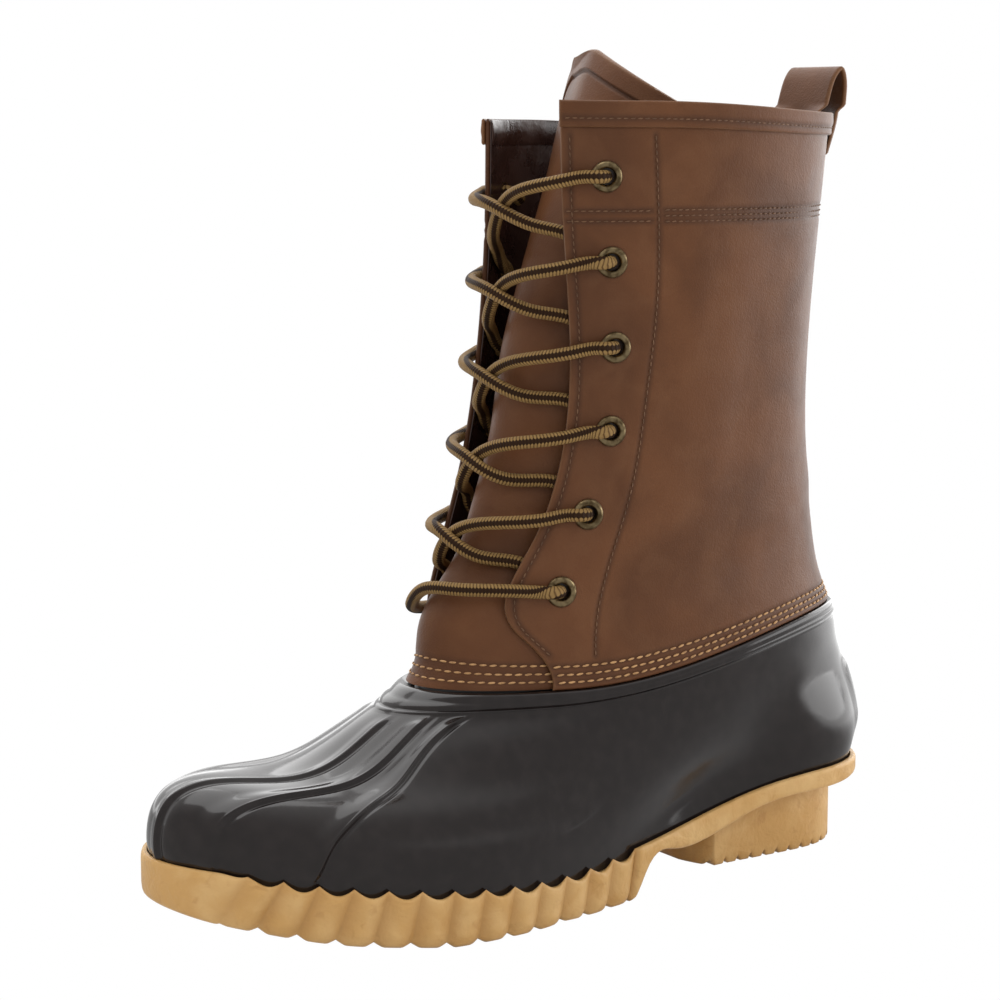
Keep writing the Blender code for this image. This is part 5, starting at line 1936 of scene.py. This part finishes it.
@dataclass
class Scatter:
    """Points with vector attributes, on which Geometry Nodes set copies of a shape."""

    name: str
    points: Array
    vectors: dict[str, Array]
    seed: int = 7

    def carrier(self) -> Object:
        """An object that holds the points and their attributes."""
        mesh = bpy.data.meshes.new(self.name)
        mesh.from_pydata(self.points.tolist(), [], [])
        for name, values in self.vectors.items():
            mesh.attributes.new(name, "FLOAT_VECTOR", "POINT").data.foreach_set("vector", np.ravel(values))
        return placed(self.name, mesh)

    def run(self, tree: bpy.types.NodeTree, values: dict[str, object]) -> Mesh:
        """Runs a tree on the points.

        Args:
            tree: the Geometry Nodes tree.
            values: its inputs by name.

        Returns:
            The mesh that it makes.
        """
        obj = self.carrier()
        modifier = obj.modifiers.new(self.name, "NODES")
        modifier.node_group = tree
        for item in tree.interface.items_tree:
            if item.in_out == "INPUT" and item.name in values:
                modifier[item.identifier] = values[item.name]
        mesh = evaluated(obj, self.name)
        obj.modifiers.remove(modifier)
        bpy.data.objects.remove(obj)
        return mesh

    @staticmethod
    def new_tree(name: str, inputs: dict[str, str]) -> tuple[Graph, bpy.types.Node]:
        """A Geometry Nodes tree with these inputs, and its input node."""
        tree = bpy.data.node_groups.new(name, "GeometryNodeTree")
        for socket, kind in {"Geometry": "NodeSocketGeometry", **inputs}.items():
            tree.interface.new_socket(socket, in_out="INPUT", socket_type=kind)
        tree.interface.new_socket("Geometry", in_out="OUTPUT", socket_type="NodeSocketGeometry")
        return Graph(tree), tree.nodes.new("NodeGroupInput")

    @staticmethod
    def end(graph: Graph, points: Wire, shape: Wire, rotation: Wire, material: Wire) -> None:
        """Ends a tree: copies on the points, made real, with the material.

        Args:
            graph: the tree's graph.
            points: the points.
            shape: what is copied.
            rotation: turn of each copy.
            material: the copies' material.
        """
        sockets = {"Points": points, "Instance": shape, "Rotation": rotation}
        copies = graph.add("GeometryNodeInstanceOnPoints", None, sockets)
        real = graph.add("GeometryNodeRealizeInstances", None, {"Geometry": copies})
        dressed = graph.add("GeometryNodeSetMaterial", None, {"Geometry": real, "Material": material})
        graph.add("NodeGroupOutput", None, {"Geometry": dressed}, None)

    @staticmethod
    def attribute(graph: Graph, name: str) -> Wire:
        """A vector attribute of the points."""
        return graph.add("GeometryNodeInputNamedAttribute", {"data_type": "FLOAT_VECTOR"}, {"Name": name})

    def instances_of(self, pattern: Object, material: Material) -> Mesh:
        """Copies of an object with their axes along the points' "out".

        Args:
            pattern: the object.
            material: the copies' material.

        Returns:
            One mesh of all the copies.
        """
        inputs = {"Pattern": "NodeSocketObject", "Material": "NodeSocketMaterial"}
        graph, start = self.new_tree(self.name, inputs)
        shape = graph.add(
            "GeometryNodeObjectInfo", None, {"Object": Wire(graph, start.outputs["Pattern"])}, "Geometry"
        )
        turn = graph.add(
            "FunctionNodeAlignRotationToVector", {"axis": "Z"}, {"Vector": self.attribute(graph, "out")}
        )
        points, finish = (Wire(graph, start.outputs[name]) for name in ("Geometry", "Material"))
        self.end(graph, points, shape, turn, finish)
        return self.run(graph.tree, {"Pattern": pattern, "Material": material})

    def stitches(self, size: ThreadSize) -> Mesh:
        """Stitches of one thread, laid along the points' "along" on the face with normal "out".

        Args:
            size: the thread.

        Returns:
            One mesh of all the stitches.
        """
        sizes = {"Length": size.stitch * MM, "Width": size.width * MM, "Height": size.height * MM}
        inputs = {name: "NodeSocketFloat" for name in sizes} | {"Seed": "NodeSocketInt"}
        graph, start = self.new_tree(self.name, inputs | {"Material": "NodeSocketMaterial"})
        given = {socket.name: Wire(graph, socket) for socket in start.outputs if socket.name}
        bead = graph.add("GeometryNodeMeshUVSphere", None, {"Segments": 10, "Rings": 6, "Radius": 1.0})
        scale = graph.add(
            "ShaderNodeCombineXYZ",
            None,
            {"X": given["Length"] * 0.5, "Y": given["Width"] * 0.5, "Z": given["Height"]},
        )
        shape = graph.add("GeometryNodeTransform", None, {"Geometry": bead, "Scale": scale})
        along = {"Vector": self.attribute(graph, "along")}
        turn = graph.add("FunctionNodeAlignRotationToVector", {"axis": "X"}, along)
        out = {"Rotation": turn, "Vector": self.attribute(graph, "out")}
        turn = graph.add("FunctionNodeAlignRotationToVector", {"axis": "Z", "pivot_axis": "X"}, out)
        sway = graph.add(
            "FunctionNodeRandomValue", {"data_type": "FLOAT"}, {2: 0.02, 3: 0.17, "Seed": given["Seed"]}, 1
        )
        axis = {"Axis": (0.0, 0.0, 1.0), "Angle": sway}
        lean = graph.add("FunctionNodeAxisAngleToRotation", None, axis)
        turn = graph.add(
            "FunctionNodeRotateRotation", {"rotation_space": "LOCAL"}, {"Rotation": turn, "Rotate By": lean}
        )
        self.end(graph, given["Geometry"], shape, turn, given["Material"])
        return self.run(graph.tree, sizes | {"Seed": self.seed, "Material": size.finish.material})


@dataclass
class Stitching:
    """Thread of every seam, one piece for each thread."""

    sink: float = 0.10

    def build(self) -> None:
        """Builds the stitches of all seams."""
        seams = [*SEAMS.quarter_seams, *SEAMS.vamp_seams, *SEAMS.band_seams]
        for thread in Thread:
            rows = [seam.points() for seam in seams if seam.thread is thread]
            centres, along, out = (np.concatenate([row[k] for row in rows]) for k in range(3))
            out = out / np.linalg.norm(out, axis=1, keepdims=True)
            name = f"stitches_{thread.name.lower()}"
            centres = (centres - out * self.sink + CENTRING) * MM
            scatter = Scatter(name, centres, {"along": along, "out": out})
            set_out(name, scatter.stitches(thread.value), thread.value.finish)


@dataclass
class Lace:
    """One round lace: a bar at the lowest eyelets, then two strands that cross at every row."""

    finish: Finish = CordFinish()
    radius: float = 2.2
    clear: float = 0.45
    start_share: float = 0.28
    sides: int = 18
    pitch: float = 0.7
    stripe_way: tuple[float, float, float] = (0.80, -0.58, 0.12)
    stripe_hold: float = 3.0
    dip_start: float = 6.6
    dips: Pairs = ((4.6, 3.3), (2.6, 3.0), (0.9, 1.3), (0.15, -1.2), (0.0, -3.2))
    over: float = 0.6
    under: float = -2.8
    end_drop: float = 3.0
    end_run: float = 6.0
    end_clear: float = 0.4
    bar_sag: Pairs = ((0.5, 0.6), (0.0, -0.6), (-0.5, 0.6))

    @property
    def on_leather(self) -> float:
        """Lift of the lace's centre where it lies on the leather."""
        return self.radius + self.clear

    def into(self, side: Side, row: int) -> list[Array]:
        """Points from the leather over the eyelet's flange and down its bore."""
        steps = ((self.dip_start, self.on_leather), *self.dips)
        return [LAST.near_eyelet(side, row, short_by, lift) for short_by, lift in steps]

    def crossing(self, side: Side, row: int) -> list[Array]:
        """Points of a strand from behind the other side's lower eyelet to this side's eyelet.

        Args:
            side: the side that it goes to.
            row: the row that it goes to.

        Returns:
            Points chosen along the strand.
        """
        other = Side(-side.value)
        low, high = LAST.eyelets[row - 1].outer_level, LAST.eyelets[row].outer_level
        start = low + self.start_share * (high - low)
        under = -LEATHER - self.on_leather
        crossing = self.over if side is Side.INNER else self.under
        from_x, to_x = float(LAST.edge_x(start, other)), float(LAST.edge_x(high, side))
        below = LAST.eyelet_level(other, row - 1)
        behind = LAST.edge_phi((below + start) / 2, other, LAST.eyelets[row - 1].setback * 0.5)
        points = [LAST.offset(behind, LAST.v_at_level((below + start) / 2), under - 0.3)]
        for x, share, lift in (
            (from_x - side.value * 2.0, 0.0, under),
            (from_x * 0.6, 0.2, under + 0.3),
            (0.0, 0.5, crossing),
            (to_x * 0.62, 0.8, self.on_leather - 0.8),
            (to_x + side.value * 0.5, 0.93, self.on_leather + 0.1),
        ):
            points.append(LAST.throat_point(x, start + share * (high - start), lift))
        return points + self.into(side, row)

    def route(self) -> Array:
        """The whole lace, from one hidden end to the other.

        Returns:
            Points chosen along it.
        """
        halves = []
        for first in Side:
            points, side = self.into(first, 0), first
            for row in range(1, len(LAST.eyelets)):
                side = Side(-side.value)
                points += self.crossing(side, row)
            level = LAST.eyelet_level(side, len(LAST.eyelets) - 1)
            level -= self.end_drop
            phi = LAST.edge_phi(level, side, LAST.eyelets[-1].setback + self.end_run)
            lift = -LEATHER - self.on_leather - self.end_clear
            points.append(LAST.offset(phi, LAST.v_at_level(level), lift))
            halves.append(points)
        bar = []
        lowest = LAST.eyelets[0]
        for share, lift in ((1.0, self.on_leather), *self.bar_sag, (-1.0, self.on_leather)):
            side = Side.OUTER if share >= 0 else Side.INNER
            level = float(np.interp(share, (-1, 1), (lowest.inner_level, lowest.outer_level)))
            bar.append(LAST.throat_point(abs(share) * float(LAST.edge_x(level, side)), level, lift))
        return np.array(halves[0][::-1] + bar + halves[1])

    def stripes(self, tangents: Array) -> Array:
        """Ways from the cord's centre to its stripe.

        Args:
            tangents: unit vectors along the cord.

        Returns:
            Unit vectors square to the cord.
        """
        way = np.array(self.stripe_way)
        normals = [way]
        for tangent in tangents:
            normal = normals[-1] * self.stripe_hold + way
            normal = normal - tangent * np.dot(normal, tangent)
            normals.append(normal / np.linalg.norm(normal))
        return np.array(normals[1:])

    def add_uv(self, mesh: Mesh, travelled: Array) -> None:
        """Adds the UV map: the length at each ring and the turn round the cord, 0 on the end caps.

        Args:
            mesh: the cord's mesh.
            travelled: length at each of its rings.
        """
        row = np.repeat(np.arange(len(travelled) - 1), self.sides)
        column = np.tile(np.arange(self.sides), len(travelled) - 1)
        corner_rows = np.stack([row, row, row + 1, row + 1], -1).ravel()
        corner_columns = np.stack([column, column + 1, column + 1, column], -1).ravel()
        uv = np.stack([travelled[corner_rows], corner_columns / self.sides], -1)
        uv = np.concatenate([uv, np.zeros((2 * self.sides, 2))])
        mesh.uv_layers.new(name="cord").data.foreach_set("uv", uv.ravel())

    def build(self) -> None:
        """Sweeps the cord along its route."""
        route = self.route()
        lengths = walked(route)
        at = np.linspace(0, lengths[-1], round(lengths[-1] / self.pitch))
        path = np.stack([spline(lengths, route[:, k], at)[:, 0] for k in range(3)], -1)
        tangents = np.gradient(path, axis=0)
        tangents /= np.linalg.norm(tangents, axis=1, keepdims=True)
        normals = self.stripes(tangents)
        sideways = np.cross(tangents, normals)
        turn = np.linspace(0, FULL_TURN, self.sides, endpoint=False)
        ring = np.cos(turn)[:, None] * normals[:, None] + np.sin(turn)[:, None] * sideways[:, None]
        points = path[:, None] + ring * self.radius
        index = numbered(points)
        caps = [index[end, :-1].tolist() for end in (0, -1)]
        mesh = bpy.data.meshes.new("lace_cord")
        vertices = ((points.reshape(-1, 3) + CENTRING) * MM).tolist()
        mesh.from_pydata(vertices, [], grid_faces(index).tolist() + caps)
        self.add_uv(mesh, walked(path))
        mesh.flip_normals()
        names = ["lace_bar"] + [f"lace_crossing_{row}" for row in range(1, len(LAST.eyelets))]
        LOG.info("lace length: %.0f mm", lengths[-1])
        set_out("braided_lace", mesh, self.finish, names)


class LightSpec(NamedTuple):
    """A softbox: its place in metres as the camera sees it, size, power and whether it mirrors."""

    name: str
    right: float
    near: float
    up: float
    width: float
    height: float
    power: float
    mirrored: bool


@dataclass
class Studio:
    """Pale floor, white surroundings, softboxes and the camera of the photograph."""

    azimuth: float = math.radians(55.8)
    pitch: float = math.radians(8.6)
    distance: float = 850.0
    height: float = 263.0
    lens: float = 91.08
    shift: float = -0.018
    sensor: float = 36.0
    clip_start: float = 0.01
    aim_height: float = 0.11
    floor_half: float = 6.0
    floor_bounce: Colour = (0.84, 0.83, 0.82)
    sweep: Pair = (0.20, 0.60)
    sweep_turn: float = 0.9
    sweep_glow: float = 1.9
    behind_glow: float = 1.05
    front_glow: float = 0.52
    glow_rise: float = 0.6
    glow_band: Pair = (-0.2, 0.6)
    lights: tuple[LightSpec, ...] = (
        LightSpec("overhead", -0.25, -0.15, 1.25, 1.2, 0.9, 6.0, True),
        LightSpec("backdrop", -0.2, -1.3, 1.0, 2.2, 1.2, 14.0, True),
        LightSpec("left_key", -1.1, 0.6, 0.7, 0.5, 0.8, 1.0, False),
        LightSpec("right_rim", 0.9, -1.2, 0.55, 0.9, 1.0, 7.0, True),
        LightSpec("right_side", 1.25, -0.38, 0.38, 1.0, 0.72, 5.0, True),
        LightSpec("front_fill", 0.5, 1.1, 0.9, 1.2, 0.8, 4.4, False),
    )

    @property
    def right(self) -> Vector:
        """The camera's right, level."""
        return Vector((math.cos(self.azimuth), math.sin(self.azimuth), 0.0))

    @property
    def near(self) -> Vector:
        """Level way from the boot to the camera."""
        return Vector((math.sin(self.azimuth), -math.cos(self.azimuth), 0.0))

    def add_camera(self) -> None:
        """Adds the photograph's camera."""
        data = bpy.data.cameras.new("photo_camera")
        data.lens = self.lens
        data.sensor_width = self.sensor
        data.shift_x = self.shift
        data.clip_start = self.clip_start
        camera = placed("photo_camera", data)
        forward = -self.near * math.cos(self.pitch) - Vector((0, 0, math.sin(self.pitch)))
        up = self.right.cross(forward)
        turn = Matrix((self.right, up, -forward)).transposed().to_4x4()
        place = self.near * self.distance + Vector((0, 0, self.height)) + Vector(CENTRING)
        camera.matrix_world = Matrix.Translation(place * MM) @ turn
        bpy.context.scene.camera = camera

    def add_lights(self) -> None:
        """Adds the softboxes, each aimed at the boot."""
        aim = Vector((0.0, 0.0, self.aim_height))
        for spec in self.lights:
            data = bpy.data.lights.new(spec.name, "AREA")
            data.shape = "RECTANGLE"
            data.size = spec.width
            data.size_y = spec.height
            data.energy = spec.power
            light = placed(spec.name, data)
            place = self.right * spec.right + self.near * spec.near + Vector((0, 0, spec.up))
            turn = (aim - place).to_track_quat("-Z", "Y").to_matrix().to_4x4()
            light.matrix_world = Matrix.Translation(place) @ turn
            light.visible_camera = False
            light.visible_glossy = spec.mirrored

    def add_floor(self) -> None:
        """Adds the pale floor."""
        mesh = bpy.data.meshes.new("studio_floor")
        corners = ((-1, -1), (1, -1), (1, 1), (-1, 1))
        vertices = [(x * self.floor_half, y * self.floor_half, 0) for x, y in corners]
        mesh.from_pydata(vertices, [], [(0, 1, 2, 3)])
        floor = placed("studio_floor", mesh)
        material, g = new_material("pale_floor")
        rays = ("Is Camera Ray", "Is Glossy Ray")
        seen, mirrored = (g.add("ShaderNodeLightPath", None, None, ray) for ray in rays)
        matt = g.add("ShaderNodeBsdfDiffuse", None, {"Color": (*self.floor_bounce, 1.0)})
        x, y = (g.add("ShaderNodeSeparateXYZ", None, {0: g.here()}, axis) for axis in "XY")
        behind = (y - x * self.sweep_turn).between(*self.sweep)
        glow = g.mix(behind, (self.front_glow,) * 3, (self.sweep_glow,) * 3)
        dim = g.add("ShaderNodeEmission", None, {"Color": glow, "Strength": 1.0})
        white = g.add("ShaderNodeEmission", None, {"Color": (1.0, 1.0, 1.0, 1.0), "Strength": 1.0})
        shader = g.add("ShaderNodeMixShader", None, {0: mirrored, 1: matt, 2: dim})
        shader = g.add("ShaderNodeMixShader", None, {0: seen, 1: shader, 2: white})
        g.add("ShaderNodeOutputMaterial", None, {"Surface": shader}, None)
        mesh.materials.append(material)

    def set_world(self) -> None:
        """White surroundings for the camera, whose light is bright behind the boot and dim in front."""
        world = bpy.data.worlds.new("studio_white")
        world.use_nodes = True
        world.node_tree.nodes.clear()
        g = Graph(world.node_tree)
        seen = g.add("ShaderNodeLightPath", None, None, "Is Camera Ray")
        way = g.add("ShaderNodeTexCoord", None, None, "Generated")
        bright_way = Vector((0, 0, self.glow_rise)) - self.near
        towards = {0: way, 1: bright_way.normalized()}
        facing = g.add("ShaderNodeVectorMath", {"operation": "DOT_PRODUCT"}, towards, "Value")
        behind = facing.between(*self.glow_band)
        strength = behind * (self.behind_glow - self.front_glow) + self.front_glow
        glow = g.add("ShaderNodeBackground", None, {"Color": (1, 1, 1, 1), "Strength": strength})
        backdrop = g.add("ShaderNodeBackground", None, {"Color": (1, 1, 1, 1), "Strength": 1.0})
        both = g.add("ShaderNodeMixShader", None, {0: seen, 1: glow, 2: backdrop})
        g.add("ShaderNodeOutputWorld", None, {"Surface": both}, None)
        bpy.context.scene.world = world
        bpy.context.scene.view_settings.view_transform = "Standard"

    def build(self) -> None:
        """Builds the studio."""
        self.set_world()
        self.add_floor()
        self.add_lights()
        self.add_camera()


def main() -> None:
    """Builds the studio and then the boot, from the sole up."""
    logging.basicConfig(level=logging.INFO, format="%(message)s")
    Studio().build()
    Outsole().build()
    Insole().build()
    Shell().build()
    VampTongue().build()
    Quarters().build()
    Eyelets().build()
    Stitching().build()
    Lace().build()


if __name__ == "__main__":
    main()
